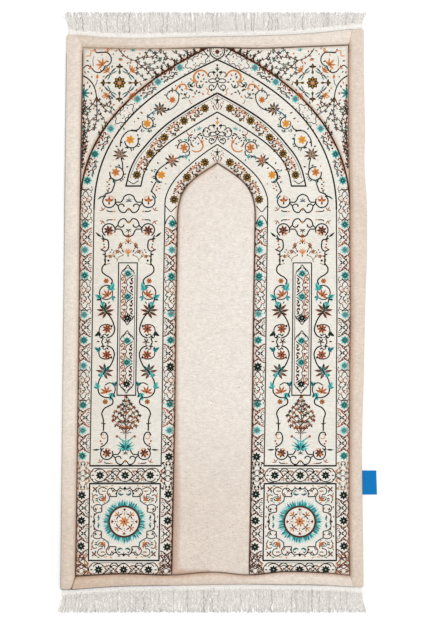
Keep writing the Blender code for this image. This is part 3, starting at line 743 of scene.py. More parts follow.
    # between the third band and the niche band
    art += curve([(13, 957), (20, 947), (29, 950), (31, 960), (24, 967), (15, 962)], 1.5)
    art += place(lily(8, "teal", "aqua", 4, 150), 38, 963, -30) + leaf(7, 4.6, "black", 29, 957, -10)
    art += leaf(8, 3.4, "black", 31, 949, -70) + leaf(7, 3.4, "green", 31, 948, 200)
    art += curve([(34, 938), (31, 928), (36, 918), (46, 915), (55, 918)], 2.6, "orange", 1.8)
    art += place(lily(9, "orange", "rust", 3, 80), 35, 935, 15)
    art += curve([(38, 942), (44, 948), (48, 941)], 1.4) + leaf(8, 3.6, "black", 44, 950, 60)
    art += curve([(53, 952), (60, 950), (62, 943), (57, 938)], 1.5) + spot(2.2, "brown", 57, 951)
    art += spot(2.0, "black", 52, 939) + leaf(7, 3.2, "green", 58, 937, 160)
    art += curve([(58, 950), (64, 953), (66, 960)], 1.7, "rust", 1.0)
    art += scroll((72, 924), 14, -10, 300, starFlower(10, 6, "orange", "rust", 0.56))
    art += leaf(8, 3.4, "teal", 66, 938, -50) + curve([(60, 917), (61, 909), (66, 905)], 1.9)
    art += curve([(64, 904), (74, 906), (84, 902), (92, 899)], 2.0, "petrol")
    art += place(lily(9, "teal", "aqua", 4, 120), 65, 905, -100)
    art += place(lily(8, "teal", "steel", 3, 120), 84, 903, 100)
    art += place(palmette(15, "brown", "rust", "tan"), 98, 895, 35)
    art += curve([(105, 892), (116, 885), (126, 876), (132, 866), (132, 856), (127, 849), (118, 850)],
        1.9)
    art += line(arc((119, 862), 12, -70, 60), 1.6)
    art += place(starFlower(9.8, 7, "gold", "orange", 0.56), 120, 865) + spot(2.2, "black", 124, 849)
    art += curve([(131, 850), (137, 838), (140, 829), (134, 823), (130, 815)], 1.9)
    art += spot(1.9, "rust", 129, 840) + spot(2.1, "rust", 130, 832) + spot(1.4, "peach", 127, 844)
    art += leaf(8, 3.4, "teal", 131, 818, -160)
    for middle, radius, start, end in (((72, 924), 15, 20, 180), ((120, 865), 14, -60, 60)):
        art += curlLeaves(middle, radius, start, end, ("teal", "leaf", "brown"))
    art += leaflets(((22, 956, 10, "black"), (40, 955, 100, "green"), (47, 943, -60, "brown"),
        (43, 930, 40, "brown"), (50, 925, -60, "rust"), (49, 958, 0, "teal"), (60, 944, 60, "black"),
        (62, 900, 160, "teal"), (72, 902, -60, "brown"), (108, 898, -40, "brown"), (113, 881, 120, "leaf"),
        (126, 888, -30, "brown"), (137, 848, -60, "brown"), (127, 835, 80, "rust"), (137, 829, -80, "brown"),
        (14, 938, 40, "green"), (21, 941, -60, "brown"), (8, 946, 80, "rust"), (138, 872, -40, "leaf")), 6.6,
        3.1)
    art += spots(1.5, ((26, 962, "rust"), (55, 958, "rust"), (46, 935, "teal"), (88, 930, "peach"),
        (100, 910, "rust"), (140, 860, "peach"), (110, 846, "rust"), (122, 842, "peach"), (84, 940, "brown")))
    return art


# The spandrels

# The big eight-fold rosette with its cross-fleurs and lilies
def spandrelRose():
    art = around(leaf(11, 8.4, "moss", 0, 3.4), 8)
    art += around(leaf(7, 3.4, "olive", 0, 5), 8) + around(leaf(4, 1.8, "gold", 0, 7), 8)
    art += spot(4.6, "brown") + around(leaf(4.4, 1.8, "peach", 0, 0.6), 8) + spot(1.4, "orange")
    cross = leaf(13, 6.4, "moss", 0, 29.5) + leaf(7, 2.4, "olive", 0, 32)
    cross += both(leaf(8, 5, "moss", 0.5, 34, -78)) + line([(0, 22), (0, 30)], 1.6, "brown")
    cross += leaf(10, 5.6, "moss", 0, 18) + leaf(6, 2.2, "olive", 0, 19) + spot(1.5, "rust", 0, 31)
    art += around(cross, 4)
    flower = place(lily(14, "orange", "rust", 5, 130), 0, 35) + leaf(9, 3.6, "brown", 0, 35)
    flower += line([(0, 26), (0, 44)], 1.2, "peach")
    flower += leaf(8, 4, "brown", 0, 24) + spot(1.8, "rust", -4, 27) + spot(1.8, "rust", 4, 27)
    flower += both(leaf(17, 3.4, "petrol", 2, 29, -86, bend=2) + leaf(14, 3, "teal", 2, 26, -112, bend=-2))
    return art + around(flower, 4, 45)


# The corner fields above the arch
def spandrelDrawing():
    greens = ("green", "steel", "brown", "leaf", "slate", "moss", "teal", "leaf")
    art = place(spandrelRose(), 211, 1064)
    art += leaflets(((240, 1136, 60, "orange"), (228, 1136, -30, "tan"), (222, 1132, 70, "rust"),
        (251, 1122, 30, "peach"), (284, 1112, 100, "brown"), (287, 1090, 160, "rust"),
        (276, 1086, -60, "teal"), (248, 1076, 60, "tan"), (240, 1112, 120, "leaf"), (196, 1104, 40, "rust"),
        (186, 1098, -40, "tan"), (178, 1084, 60, "brown"), (176, 1046, 30, "rust"), (186, 1030, -60, "tan"),
        (206, 1018, 20, "brown"), (226, 1016, 80, "rust"), (244, 1032, -60, "tan"), (250, 1044, 20, "leaf"),
        (276, 1028, 120, "rust"), (268, 1006, 40, "tan"), (252, 1000, 160, "brown"), (286, 978, 30, "orange"),
        (250, 1088, -30, "rust"), (228, 1096, 10, "brown"), (170, 1064, 60, "tan"), (164, 1058, -20, "leaf"),
        (156, 1070, 70, "brown"), (220, 1004, -50, "leaf"), (212, 1010, 60, "tan")), 7, 3.2)
    # the quarter scroll and lily in the corner
    art += curve([(266, 1137), (262, 1130), (250, 1130), (238, 1129), (230, 1119), (230, 1109),
        (236, 1102), (243, 1100)], 2.2, tip=1.8)
    art += curve([(243, 1100), (247, 1091), (256, 1086), (264, 1088), (272, 1096), (281, 1102),
        (290, 1096)], 2.2, tip=1.6)
    art += place(lily(17, "orange", "rust", 5, 190), 248, 1103, -45)
    art += place(lily(8, "teal", "petrol", 3, 100), 243, 1100, 130)
    art += place(lily(9, "orange", "rust", 3, 90), 237, 1130, -20)
    art += place(lily(9, "rust", "orange", 3, 90), 272, 1096, -60)
    art += ruled([(262, 1133), (274, 1133), (274, 1122), (283, 1122)], 4, 2.0, "peach")
    art += curve([(268, 1100), (269, 1112), (267, 1122)], 1.3, "grey", 0.8)
    # buds on grey stems
    art += leaf(11, 6, "orange", 214, 1114, 90) + leaf(9, 2.4, "steel", 206, 1117, -100)
    art += leaf(11, 6, "orange", 259, 1072)
    art += curve([(259, 1071), (261, 1062), (266, 1055)], 1.4, "steel", 0.9)
    art += spot(2.0, "olive", 271, 1077) + spot(2.0, "rust", 188, 1107) + spot(1.8, "olive", 225, 1126)
    # the vine that enters from the top, and its branches
    art += leafyStem([(214, 1138), (204, 1125), (193, 1117), (178, 1112)], 10, 6.4, ("brown", "rust"),
        "slate", 1.7, 31)
    art += leafyStem([(178, 1112), (167, 1117), (158, 1121), (147, 1136)], 10.5, 8, greens, "brown", 1.7,
        32)
    art += leafyStem([(178, 1112), (165, 1101), (156, 1094), (143, 1080)], 10.5, 8, greens, "brown", 1.7,
        33)
    art += place(lily(9, "aqua", "teal", 4, 130), 183, 1133, 10) + spot(2.2, "orange", 168, 1127)
    art += spot(2, "rust", 201, 1132)
    for k, stem in enumerate(([(160, 1120), (148, 1119), (136, 1123), (126, 1132)], [(163, 1100), (152, 1104),
            (139, 1105), (128, 1112)], [(156, 1094), (146, 1097), (136, 1094), (124, 1098)], [(150, 1087),
            (142, 1092), (132, 1085)], [(118, 1134), (112, 1122), (103, 1115), (92, 1113)], [(110, 1124),
            (116, 1112), (112, 1102), (104, 1096)], [(172, 1104), (174, 1092), (168, 1083), (160, 1074)],
            [(98, 1134), (88, 1127), (76, 1124)], [(143, 1134), (136, 1126), (126, 1119)], [(74, 1136),
            (64, 1130), (52, 1131)])):
        art += leafyStem(stem, 10.5, 7.6, greens, "brown", 1.5, k)
    # dark leaves packed along the side seam
    for k, y in enumerate(range(884, 1062, 9)):
        art += leaflets(((290 - k % 3, y, 25 if k % 2 else 150, ("brown", "russet", "moss")[k % 3]),
            (291, y + 4, 80, "brown")), 6.4, 3.4)
    # the vine that enters from the side, and its branches
    art += curve([(290, 1080), (278, 1072), (268, 1060), (263, 1048), (260, 1033)], 2.2, tip=1.7)
    art += leafyStem([(260, 1034), (267, 1019), (277, 1009), (288, 1001)], 10.5, 8, greens, "brown", 1.7,
        34)
    art += leafyStem([(260, 1034), (253, 1022), (243, 1016), (232, 1012)], 10.5, 8, greens, "brown", 1.7,
        35)
    art += leafyStem([(260, 1034), (259, 1012), (259, 992), (262, 972)], 10.5, 8, greens, "brown", 1.7,
        36)
    art += place(lily(17, "teal", "petrol", 5, 170), 289, 1042, 90)
    for x, y, colour in ((281, 1064, "orange"), (272, 1041, "rust"), (254, 1052, "gold"),
            (276, 1056, "russet")):
        art += leaf(7, 4, colour, x, y - 3, 15)
    for k, stem in enumerate(([(251, 1020), (243, 1008), (234, 1002), (226, 997)], [(233, 1013), (229, 1021),
            (231, 1030)], [(288, 1001), (280, 992), (277, 981)], [(259, 1000), (250, 994), (243, 985),
            (241, 976)], [(259, 990), (268, 986), (276, 976), (278, 966)], [(262, 972), (271, 962),
            (281, 958)], [(288, 985), (284, 968), (286, 950)], [(248, 974), (246, 966), (250, 956)],
            [(272, 1002), (280, 1000), (286, 1010)])):
        art += leafyStem(stem, 10.5, 7.8, greens, "brown", 1.5, 40 + k)
    for k, stem in enumerate(([(286, 1030), (284, 1015), (289, 1003)], [(290, 962), (282, 950), (287, 936),
            (284, 924)], [(279, 944), (283, 932), (281, 921), (285, 911)], [(290, 930), (287, 914),
            (290, 900), (289, 888)])):
        art += leafyStem(stem, 6, 7.4, ("brown", "russet", "green", "black", "moss"), "brown", 1.3,
            80 + k)
    return art


# The half shield that hangs at the top seam, and the lines that cross on each side of it
def shieldDrawing():
    edge = [(16, 1140), (15.5, 1130), (12, 1122), (6, 1118), (0, 1115)]
    art = both(curve(edge, 2.0) + curve([(12.5, 1140), (12, 1131), (9, 1125), (0, 1120)], 0.9))
    art += place(bloom(5.4, 8, 0.25, "brown"), 0, 1131) + spot(2.0, "red", 0, 1131)
    art += both(spot(1.4, "brown", 8, 1132) + spot(1.4, "rust", 7, 1126) + spot(1.3, "brown", 9, 1138))
    art += spot(1.4, "rust", 0, 1123)
    art += both(curve([(34, 1138), (26, 1129), (17, 1119)], 1.7) + spot(2.2, "black", 28, 1137))
    return art + both(leaf(7, 4, "brown", 22, 1137, 160) + spot(1.8, "rust", 37, 1136))


# The tall panel of a leg, drawn round its own middle line

# Ogee cartouche with a flower circle at each end
def cartouche(flower, fan, peak):
    half = line(arc((-42, 0), 13.6, 120, 385), 2.0)
    half += ruled([(-29, -2), (-17, -2)], 3, 1.9)
    half += curve([(-17, -2), (-13, 3), (-10, 10), (-5, 13.5), (0, 15)], 2.0)
    half += curve([(-29, -4), (-23, -10), (-21, -17), (-16, -23), (-8, -24), (-4, -19), (0, -15)], 2.0)
    half += curve([(-23, -10), (-17, -6), (-11, -8), (-10, -12)], 1.8, tip=2.2)
    half += ruled([(-47, -19), (-44, -22), (-34, -22)], 3, 1.7) + leaf(7, 3, "orange", -34, -22, -90)
    half += place(lily(9, "rust", "russet", 3, 140), -55, -19, 30) + leaf(7, 3, "steel", -50, -11, -110)
    half += place(flower, -42, 1) + line(arc((-42, 1), 10.5, 20, 100), 1.4, "peach")
    return both(half) + place(fan, 0, 0) + place(peak, 0, -20)


# The tall panel beside the niche
def tallPanel():
    fanPale = lily(9, "steel", "grey", 5, 200)
    fanDark = lily(8, "slate", "black", 5, 220)
    redFlower = starFlower(11, 7, "russet", "brown")
    art = place(cartouche(place(trefoil(18, "rust", "russet"), 0, -8) + spot(3, "orange"), fanPale,
        lily(6, "orange", "brown", 3, 60)), 0, 808)
    art += place(flipped(cartouche(starFlower(11.4, 7, "russet", "brown") + spot(2, "orange", 4, 4),
        fanDark, lily(6, "gold", "orange", 3, 60))), 0, 746)
    art += place(cartouche(redFlower + spot(3, "orange", -3, -3), fanDark,
        lily(6, "gold", "brown", 3, 60)), 0, 263, size=0.96)
    half = leaf(17, 4.6, "green", -57, 731, 62, bend=3) + leaf(10, 4, "leaf", -50, 724, 60)
    half += leaf(17, 3.8, "slate", -55, 272, 100, bend=2) + leaf(9, 3.4, "green", -53, 277, 180)
    # the contour that runs down beside the narrow frame
    half += curve([(-56, 735), (-52, 727), (-44, 724), (-42, 716), (-43, 705), (-49, 700), (-56, 703)], 2.1)
    half += curve([(-48, 708), (-53, 707), (-56, 703)], 1.6, "rust") + spot(2.3, "rust", -53, 722)
    half += spot(1.9, "russet", -52, 715) + spot(1.7, "rust", -51, 710) + leaf(6, 3, "black", -56, 701, 30)
    half += curve([(-49, 698), (-49, 686), (-49, 674), (-55, 665), (-55, 656), (-48, 649), (-38, 643),
        (-33, 636), (-36, 628)], 2.1)
    half += leaf(7, 3.4, "brown", -49, 692, 70) + leaf(6, 3, "black", -49, 688, -60)
    half += place(bloom(6, 6, 0.3, "rust") + around(leaf(4, 2.2, "orange", 0, 1), 6) + spot(1.6, "brown"),
        -46, 636)
    half += scroll((-45, 610), 16.7, 62, 385, place(lily(16, "rust", "orange", 5, 160), 3, -6, 35)
        + spot(2, "brown", 2, -5))
    half += place(twinLeaf(16, "aqua", "teal"), -35, 615, -12)
    half += place(twinLeaf(14, "aqua", "petrol"), -56, 598, 62)
    half += place(twinLeaf(10, "aqua", "steel"), -33, 603, 200) + leaf(7, 3, "petrol", -38, 592, 150)
    half += curve([(-58, 600), (-56, 590), (-51, 579), (-45, 568)], 2.0)
    half += place(twinLeaf(11, "aqua", "teal"), -55, 590, -152)
    half += place(palmette(18, "russet", "green", "leaf"), -47, 571, 20) + spot(2.4, "leaf", -47, 571)
    # two facing S-curves with their stars, linked by a ring
    for side in (1, -1):
        arm = curve([(-45, 64), (-36, 53), (-29, 38), (-27, 24), (-33, 13), (-44, 8)], 2.1)
        arm += curve([(-32, 32), (-38, 36), (-48, 37), (-57, 33), (-60, 24), (-57, 15)], 2.1, tip=1.6)
        arm += line(arc((-48, 13), 3.6, 0, 300, step=1.8), 1.5) + leaf(8, 3.6, "black", -34, 30, -15)
        arm += place(starFlower(11, 7, "rust", "brown"), -43, 28)
        arm += place(twinLeaf(12, *(("green", "slate") if side > 0 else ("teal", "petrol"))), -58, 20, 128)
        half += place(arm if side > 0 else flipped(arm), 0, 504.5)
    half += curve([(-51, 512), (-54, 504), (-51, 497)], 2.0)
    half += place(around(leaf(8.5, 3, "brown"), 5, 40), -41, 505) + spot(1.8, "black", -41, 505)
    half += leaflets(((-52, 512, 70, "black"), (-52, 512, 20, "green"), (-50, 497, 120, "green"),
        (-50, 497, 165, "black"), (-44, 516, -40, "black"), (-44, 493, -140, "black"),
        (-58, 505, 90, "russet")), 8, 3.4)
    half += place(palmette(18, "russet", "green", "teal"), -47, 440, -20) + spot(2.4, "petrol", -47, 440)
    half += curve([(-47, 440), (-54, 430), (-59, 420), (-61, 405)], 2.0)
    half += place(twinLeaf(11, "aqua", "teal"), -56, 428, -20)
    # the big flower circle, the small one below it and the stem to the foot
    half += curve([(-61, 406), (-59, 394), (-50, 386), (-38, 384), (-28, 390), (-24, 401), (-27, 412),
        (-36, 416), (-46, 411)], 2.1, tip=1.7)
    half += place(lily(16, "rust", "orange", 5, 170), -43, 395, 15) + spot(2, "brown", -43, 396)
    half += place(twinLeaf(13, "aqua", "teal"), -60, 404, 28)
    half += place(twinLeaf(11, "teal", "green"), -27, 409, -30)
    half += place(twinLeaf(15, "aqua", "petrol"), -31, 394, 170)
    half += curve([(-35, 385), (-29, 379), (-30, 370), (-37, 366), (-46, 361), (-52, 350), (-49, 338),
        (-48, 325), (-48, 312)], 2.1)
    half += place(bloom(6, 7, 0.3, "russet") + around(leaf(4, 2, "orange", 0, 1), 7) + spot(1.5, "brown"),
        -45, 375)
    half += leaf(6, 3, "olive", -49, 327, 60) + leaf(6, 3, "brown", -48, 326, -60)
    half += spot(1.8, "black", -48, 322)
    half += curve([(-54, 302), (-50, 309), (-43, 308), (-39, 300), (-40, 288), (-45, 282), (-54, 277)], 2.0)
    half += line(arc((-47, 300), 5, 90, 330, step=1.8), 1.5, "peach") + spot(2.2, "rust", -54, 290)
    half += spot(2.2, "rust", -51, 284)
    # crown sprays
    half += place(trefoil(12, "brown", "olive"), -13, 705, 40) + leaf(9, 3, "black", -9, 697, 40, bend=2)
    half += curve([(-12, 691), (-20, 687), (-24, 677)], 1.0, "olive")
    half += curve([(-22, 681), (-33, 690), (-44, 690), (-51, 682), (-46, 672), (-38, 674)], 1.0, "olive")
    half += spot(2.6, "brown", -42, 680) + curve([(-14, 695), (-22, 702), (-30, 702)], 1.2, tip=0.8)
    half += leaf(5, 3, "peach", -30, 694, 80)
    for x, y in ((-31, 698), (-38, 698), (-29, 690), (-11, 692), (-48, 671), (-35, 703)):
        half += spot(1.7, "brown", x, y)
    for x, y, radius in ((15.7, 715, 4.4), (23, 699, 4.8), (38, 689, 4.6)):
        half += place(starFlower(radius, 5, "rust", "brown", 0.7), -x, y)
    half += curve([(-38, 689), (-30, 694), (-23, 699), (-15.7, 715), (-4, 722)], 0.9, "tan")
    art += both(half) + place(starFlower(5, 5, "rust", "brown", 0.7), 0, 733)
    art += place(lily(12, "orange", "brown", 3, 70), 0, 718)
    art += place(lily(14, "peach", "orange", 5, 90), 0, 694) + spot(1.8, "brown", 0, 690)
    art += both(spot(1.6, "slate", 5, 717))
    return art + narrowFrame() + bouquet()


# Between two rosettes of the narrow frame: rust scallops on the right, dark sprays of leaves on the left
def frameKnot():
    half = curve([(13, 24), (8, 20), (4, 14), (7, 7), (13, 2)], 1.9, "rust", 1.5, step=3)
    half += curve([(-12, 22), (-6, 17), (0, 13), (3, 6), (0, 0)], 1.6, "brown", 1.3, step=3)
    half += line(arc((9, 13), 4.2, -60, 120, step=1.8), 1.5, "russet")
    half += leaflets(((-6, 12, 60, "black"), (-6, 12, 130, "brown"), (-7, 1, 40, "black"),
        (-7, 1, -20, "brown"), (-5, 20, 20, "brown"), (4, 3, -50, "russet"), (11, 9, 30, "tan"),
        (2, 19, -60, "rust")), 7, 3.6)
    return upAndDown(half + spot(1.6, "rust", -11, 7) + spot(1.6, "peach", 6, 17))


# Double-ruled frame with two cartouches of three rosettes
def narrowFrame():
    art = ruled([(-20, 675), (20, 675)], 5, 1.7) + ruled([(-20, 389), (20, 389)], 5, 2.0)
    art += both(ruled([(-20, 676), (-20, 388)], 6, 1.8) + ruled([(-15.5, 650), (-15.5, 410)], 6, 1.1,
        "rule"))
    for top, base in ((671, 541), (529, 393)):
        ends = []
        for y, way in ((top, -1), (base, 1)):
            ends += curve([(0, y), (-6, y + way * 8), (-12, y + way * 14), (-14, y + way * 20)], 1.4, step=3)
            ends += curve([(-1, y + way * 6), (-7, y + way * 11), (-9, y + way * 15), (-12, y + way * 12)],
                1.1, step=3)
        art += both(ends)
    for heights in ((652, 602, 556), (507, 460, 413)):
        for a, b in zip(heights, heights[1:]):
            art += place(frameKnot(), 0, (a + b) / 2)
        for k, y in enumerate(heights):
            art += place(rosette(8.6, "dark" if k == 2 else "teal"), 0, y)
    return art


# The flowering tree at the foot of the tall panel
def bouquet():
    chance = np.random.default_rng(5)
    art = curve([(0, 290), (0, 310), (1, 345), (0, 384)], 1.5, "brown", 1.0)
    clumps = ((0, 385), (4, 376), (9, 369), (0, 366), (16, 362), (8, 358), (24, 354), (15, 351), (0, 352),
        (27, 344), (20, 340), (9, 344), (26, 333), (14, 330), (5, 332), (21, 323), (11, 319), (3, 318))
    for x, y in clumps:
        for side in (1, -1) if x else (1,):
            at = np.array((side * x, y)) + chance.uniform(-1, 1, 2)
            art += curve([(0, y - 9 - x * 0.4), (at[0] * 0.6, y - 5), at], 0.7, "brown", 0.8)
            for turn in (-110, -55, 0, 55, 110):
                colour = ("russet", "brown", "tan", "rust", "leaf", "russet", "green")[chance.integers(7)]
                if abs(turn) < 50 and chance.random() < (y - 320) / 80:
                    colour = "green"
                lean = turn - side * x * 1.4 + chance.uniform(-14, 14)
                art += leaf(chance.uniform(5, 7), 3.2, colour, *at, lean)
    for at, colour in (((0, 321), "rust"), ((1, 350), "orange"), ((-14, 341), "rust"), ((17, 327), "pink"),
            ((-20, 324), "rust")):
        art += spot(2.2, colour, *at)
    art += both(spot(3, "rust", -19, 300) + curve([(-16, 299), (-9, 293), (0, 288)], 1.5, "teal"))
    for length, turn, colour in ((25, 58, "aqua"), (24, 38, "teal"), (25, 19, "aqua"), (19, 78, "aqua"),
            (15, 48, "petrol"), (14, 27, "petrol"), (11, 96, "teal")):
        art += both(leaf(length, 4.0, colour, 1, 272, turn, bend=-3))
    art += leaf(26, 5, "aqua", 0, 271) + leaf(16, 2.4, "teal", 0, 273)
    return art + both(curve([(-3, 305), (-7, 309), (-12, 308)], 1.3, "grey"))


# The square panel at a leg's foot

# The medallion of the square panel
def medallion():
    chance = np.random.default_rng(11)
    art = bloom(49, 52, 0.14, "mist", True) + bloom(45, 47, 0.13, "aqua", True, 4)
    art += bloom(41, 44, 0.1, "teal", True)
    for k in range(90):
        colour = ("petrol", "aqua", "mist", "ground", "teal", "steel", "aqua", "petrol",
            "mist")[k % 9]
        ray = leaf(chance.uniform(8, 12), 2.4, colour, 0, chance.uniform(33, 38))
        art += place(ray, 0, 0, k * 4 + chance.uniform(-2, 2))
    ring = np.arange(48) / 48 * 2 * math.pi
    disc = np.stack((np.cos(ring), np.sin(ring)), 1)[None]
    art += [(disc * radius, colour) for radius, colour in ((34.6, "brown"), (33.0, "russet"),
        (31.9, "brown"), (30.6, "ground"))]
    art += starFlower(12, 8, "orange", "rust", 0.36) + spot(1.6, "red")
    axis = leaf(9, 4.4, "rust", -4.5, 28, -90) + leaf(6, 3.4, "brown", 0, 23.5)
    axis += spot(1.7, "orange", 0, 15.5) + spot(1.5, "brown", 0, 19.5) + both(spot(1.3, "rust", 4, 22))
    corner = place(lily(11, "orange", "rust", 3, 90), 0, 20) + spot(2.0, "brown", 0, 17)
    corner += spot(1.5, "orange", 0, 13.5)
    corner += both(leaf(10, 3, "slate", 1, 19, -108) + spot(1.4, "rust", 5, 24))
    return art + place(around(axis, 4) + around(corner, 4, 45), size=0.95)


# One quarter of the scroll frame round the medallion, drawn for the upper right
def squareQuarter():
    art = ruled([(17, 54), (33, 54)], 3, 1.7) + ruled([(49, 35), (49, 21)], 3, 1.7)
    art += curve([(17, 54), (17, 64), (10, 72), (3, 70), (0, 75)], 1.6)
    art += curve([(49, 21), (60, 18), (66, 9), (64, 2), (69, 0)], 1.6)
    art += curve([(33, 54), (38, 62), (34, 71), (25, 72), (20, 66)], 1.5)
    art += curve([(49, 35), (58, 37), (66, 33), (66, 24), (60, 20)], 1.5)
    art += curve([(33, 54), (34, 46), (40, 40), (49, 35)], 1.7, "steel")
    art += curve([(38, 70), (48, 74), (56, 70), (54, 60), (46, 58)], 1.4)
    art += curve([(66, 40), (69, 50), (64, 58), (58, 56)], 1.4)
    art += place(lily(14, "rust", "orange", 4, 100), 42, 46, -45) + leaf(7, 3.4, "teal", 38, 42, 60)
    art += place(around(leaf(8, 3.4, "russet"), 4, 45), 64, 70) + spot(1.7, "brown", 64, 70)
    art += place(trefoil(8, "russet", "brown"), 27, 63, 30)
    art += place(trefoil(8, "brown", "green"), 58, 28, -110) + leaf(9, 3.6, "teal", 6, 58, -60, bend=2)
    art += leaf(9, 3.6, "petrol", 56, 6, -10, bend=-2)
    art += curve([(3, 60), (8, 57), (13, 60), (12, 66)], 1.8, "petrol", 1.2)
    art += curve([(57, 2), (54, 8), (57, 13)], 1.8, "teal", 1.2) + spot(1.8, "rust", 48, 66)
    art += spot(1.7, "brown", 70, 60) + spot(1.6, "orange", 38, 76) + spot(1.6, "green", 60, 45)
    art += curve([(40, 77), (47, 73), (54, 77), (60, 73)], 1.2, "tan")
    art += curve([(71, 62), (67, 54), (71, 46)], 1.2, "tan")
    art += curve([(44, 50), (50, 54), (57, 51), (58, 44), (53, 40)], 1.3, "teal", 0.9)
    art += leaflets(((20, 66, 70, "black"), (44, 73, -60, "green"), (30, 76, 60, "orange"),
        (52, 76, -60, "teal"), (70, 52, 10, "orange"), (71, 34, 170, "brown"), (47, 66, 100, "brown"),
        (60, 62, -30, "teal"), (36, 58, 40, "rust"), (58, 50, -100, "green"), (28, 68, -20, "brown"),
        (66, 14, 30, "russet"), (12, 68, 120, "green"), (20, 58, 20, "brown"), (53, 30, 140, "rust"),
        (33, 60, 150, "russet"), (40, 66, -90, "tan"), (64, 44, 60, "tan"), (8, 74, -80, "rust"),
        (71, 8, -10, "rust"), (52, 46, -45, "brown"), (46, 42, 120, "orange")), 6, 2.9)
    return art


# The square panel with its medallion and frame
def squarePanel():
    art = both(upAndDown(squareQuarter())) + medallion()
    art += place(trefoil(9, "black", "slate"), 0, 66) + place(trefoil(9, "black", "slate"), 0, -66, 180)
    art += place(trefoil(8, "brown", "slate"), 62, 0, -90)
    art += place(trefoil(8, "brown", "slate"), -62, 0, 90)
    frameLine = evenly([(-76, -84), (76, -84)], 6)
    art += line(frameLine, 2.5) + line(frameLine + (0, 166), 2.5)
    upright = evenly([(-76, -85.5), (-76, 83.5)], 6)
    return art + line(upright, 2.2) + line(upright + (152, 0), 2.2)


# The whole print, mirrored across the rug
def printDrawing():
    leg = bands["legMiddle"]
    half = legBand(bands["outer"], 1, bands["pitch"][0], (0, 1, 2), (1, 2, 3))
    half += legBand(bands["inner"], -1, bands["pitch"][1], (0, 1, 2, 3, 6), (1, 2))
    for height in bands["across"]:
        half += crossBand(height)
    half += crossing((96, 215), "black", "brown", "rust") + crossing((96, 15), "brown", "russet", "tan")
    half += crossing((279, 215), "grey", "tan", "orange") + crossing((279, 15), "russet", "tan", "orange")
    half += place(squarePanel(), leg, 116) + place(tallPanel(), leg, 0) + archDrawing() + scrollDrawing()
    half += spandrelDrawing()
    art = both(half) + shieldDrawing() + place(fountain("leaf"), 0, 1078)
    art += place(fountain("gold"), 0, 963)
    art += place(apexMotif(), 0, 1020) + place(apexMotif(), 0, 908)
    return art


# Meshes

# Keep only sound polygons: wound one way, not crossed and not slivers
def soundPolygons(art):
    kept = []
    for polygons, colour in art:
        points = onRug(polygons)
        after = np.roll(points, -1, axis=1)
        area = (points[..., 0] * after[..., 1] - points[..., 1] * after[..., 0]).sum(1) / 2
        points = np.where(area[:, None, None] < 0, points[:, ::-1], points)
        good = np.abs(area) > 2e-8
        if points.shape[1] == 4:
            before, after = np.roll(points, 1, axis=1) - points, np.roll(points, -1, axis=1) - points
            turn = after[..., 0] * before[..., 1] - after[..., 1] * before[..., 0]
            good &= (turn > 0).all(1)
        kept += [(polygon, colour) for polygon in points[good]]
    return kept


# sRGB hex to linear: each channel above 0.04045 by the 2.4 power, below it in a straight line
def linear(hexColour):
    parts = np.array([int(hexColour[i:i + 2], 16) / 255 for i in (1, 3, 5)])
    return np.where(parts <= 0.04045, parts / 12.92, ((parts + 0.055) / 1.055) ** 2.4)


# An object at the origin, linked to the scene
def newObject(name, data):
    made = bpy.data.objects.new(name, data)
    bpy.context.scene.collection.objects.link(made)
    return made


# Put a finished mesh into the scene, on the rug's one body
def addPiece(name, mesh, material, nodes=()):
    mesh.materials.append(material)
    piece = newObject(name, mesh)
    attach(piece, "root")
    if nodes:
        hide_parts(*nodes)
    return piece


# A mesh from points and faces, smooth unless it is flat
def newMesh(name, points, faces, smooth=True):
    mesh = bpy.data.meshes.new(name)
    mesh.from_pydata(points, [], faces)
    mesh.update()
    if smooth:
        mesh.shade_smooth()
    return mesh


# One number for each point of a mesh, for its material to read
def pointValues(mesh, name, values):
    layer = mesh.attributes.new(name, "FLOAT", "POINT")
    layer.data.foreach_set("value", np.asarray(values, np.float32))


# Quads over a grid of points whose rows are closed rings
def ringFaces(rows, columns):
    index = np.arange(rows * columns).reshape(rows, columns)
    after = np.roll(index, -1, axis=1)
    return index, np.stack((index[:-1], after[:-1], after[1:], index[1:]), 2).reshape(-1, 4).tolist()


# Turn every face of a closed shell outwards
def turnOutwards(mesh):
    shell = bmesh.new()
    shell.from_mesh(mesh)
    bmesh.ops.recalc_face_normals(shell, faces=shell.faces)
    shell.to_mesh(mesh)
    shell.free()


# A closed shell from rings of points, its two end rings filled
def closedShell(name, rings):
    index, faces = ringFaces(*rings.shape[:2])
    mesh = newMesh(name, rings.reshape(-1, 3), faces + [index[0, ::-1].tolist(), index[-1].tolist()])
    turnOutwards(mesh)
    return mesh


padding = {
    "seamHeight": 0.0045, "height": 0.0115, "shoulder": 0.014,   # metres
    "swell": 0.0006, "pucker": 0.00035,
    "channelDepth": 0.0045, "channelShoulder": 0.009,
    # by a channel: scales on its distance for the painted warm shade and the painted crease shade, and how
    # strong that crease shade is
    "channelCreaseReach": 1.3, "channelWarmShadeReach": 1.0, "channelCreaseShade": 0.85,
    "rows": (0.0012, 0.003, 0.006, 0.010, 0.015),      # how far in from the outline
    # and to each side of a channel
    "channelRows": (-0.009, -0.006, -0.003, -0.0018, -0.0008, 0, 0.0008, 0.0018, 0.003, 0.006, 0.009),
    "grid": 0.014,
}
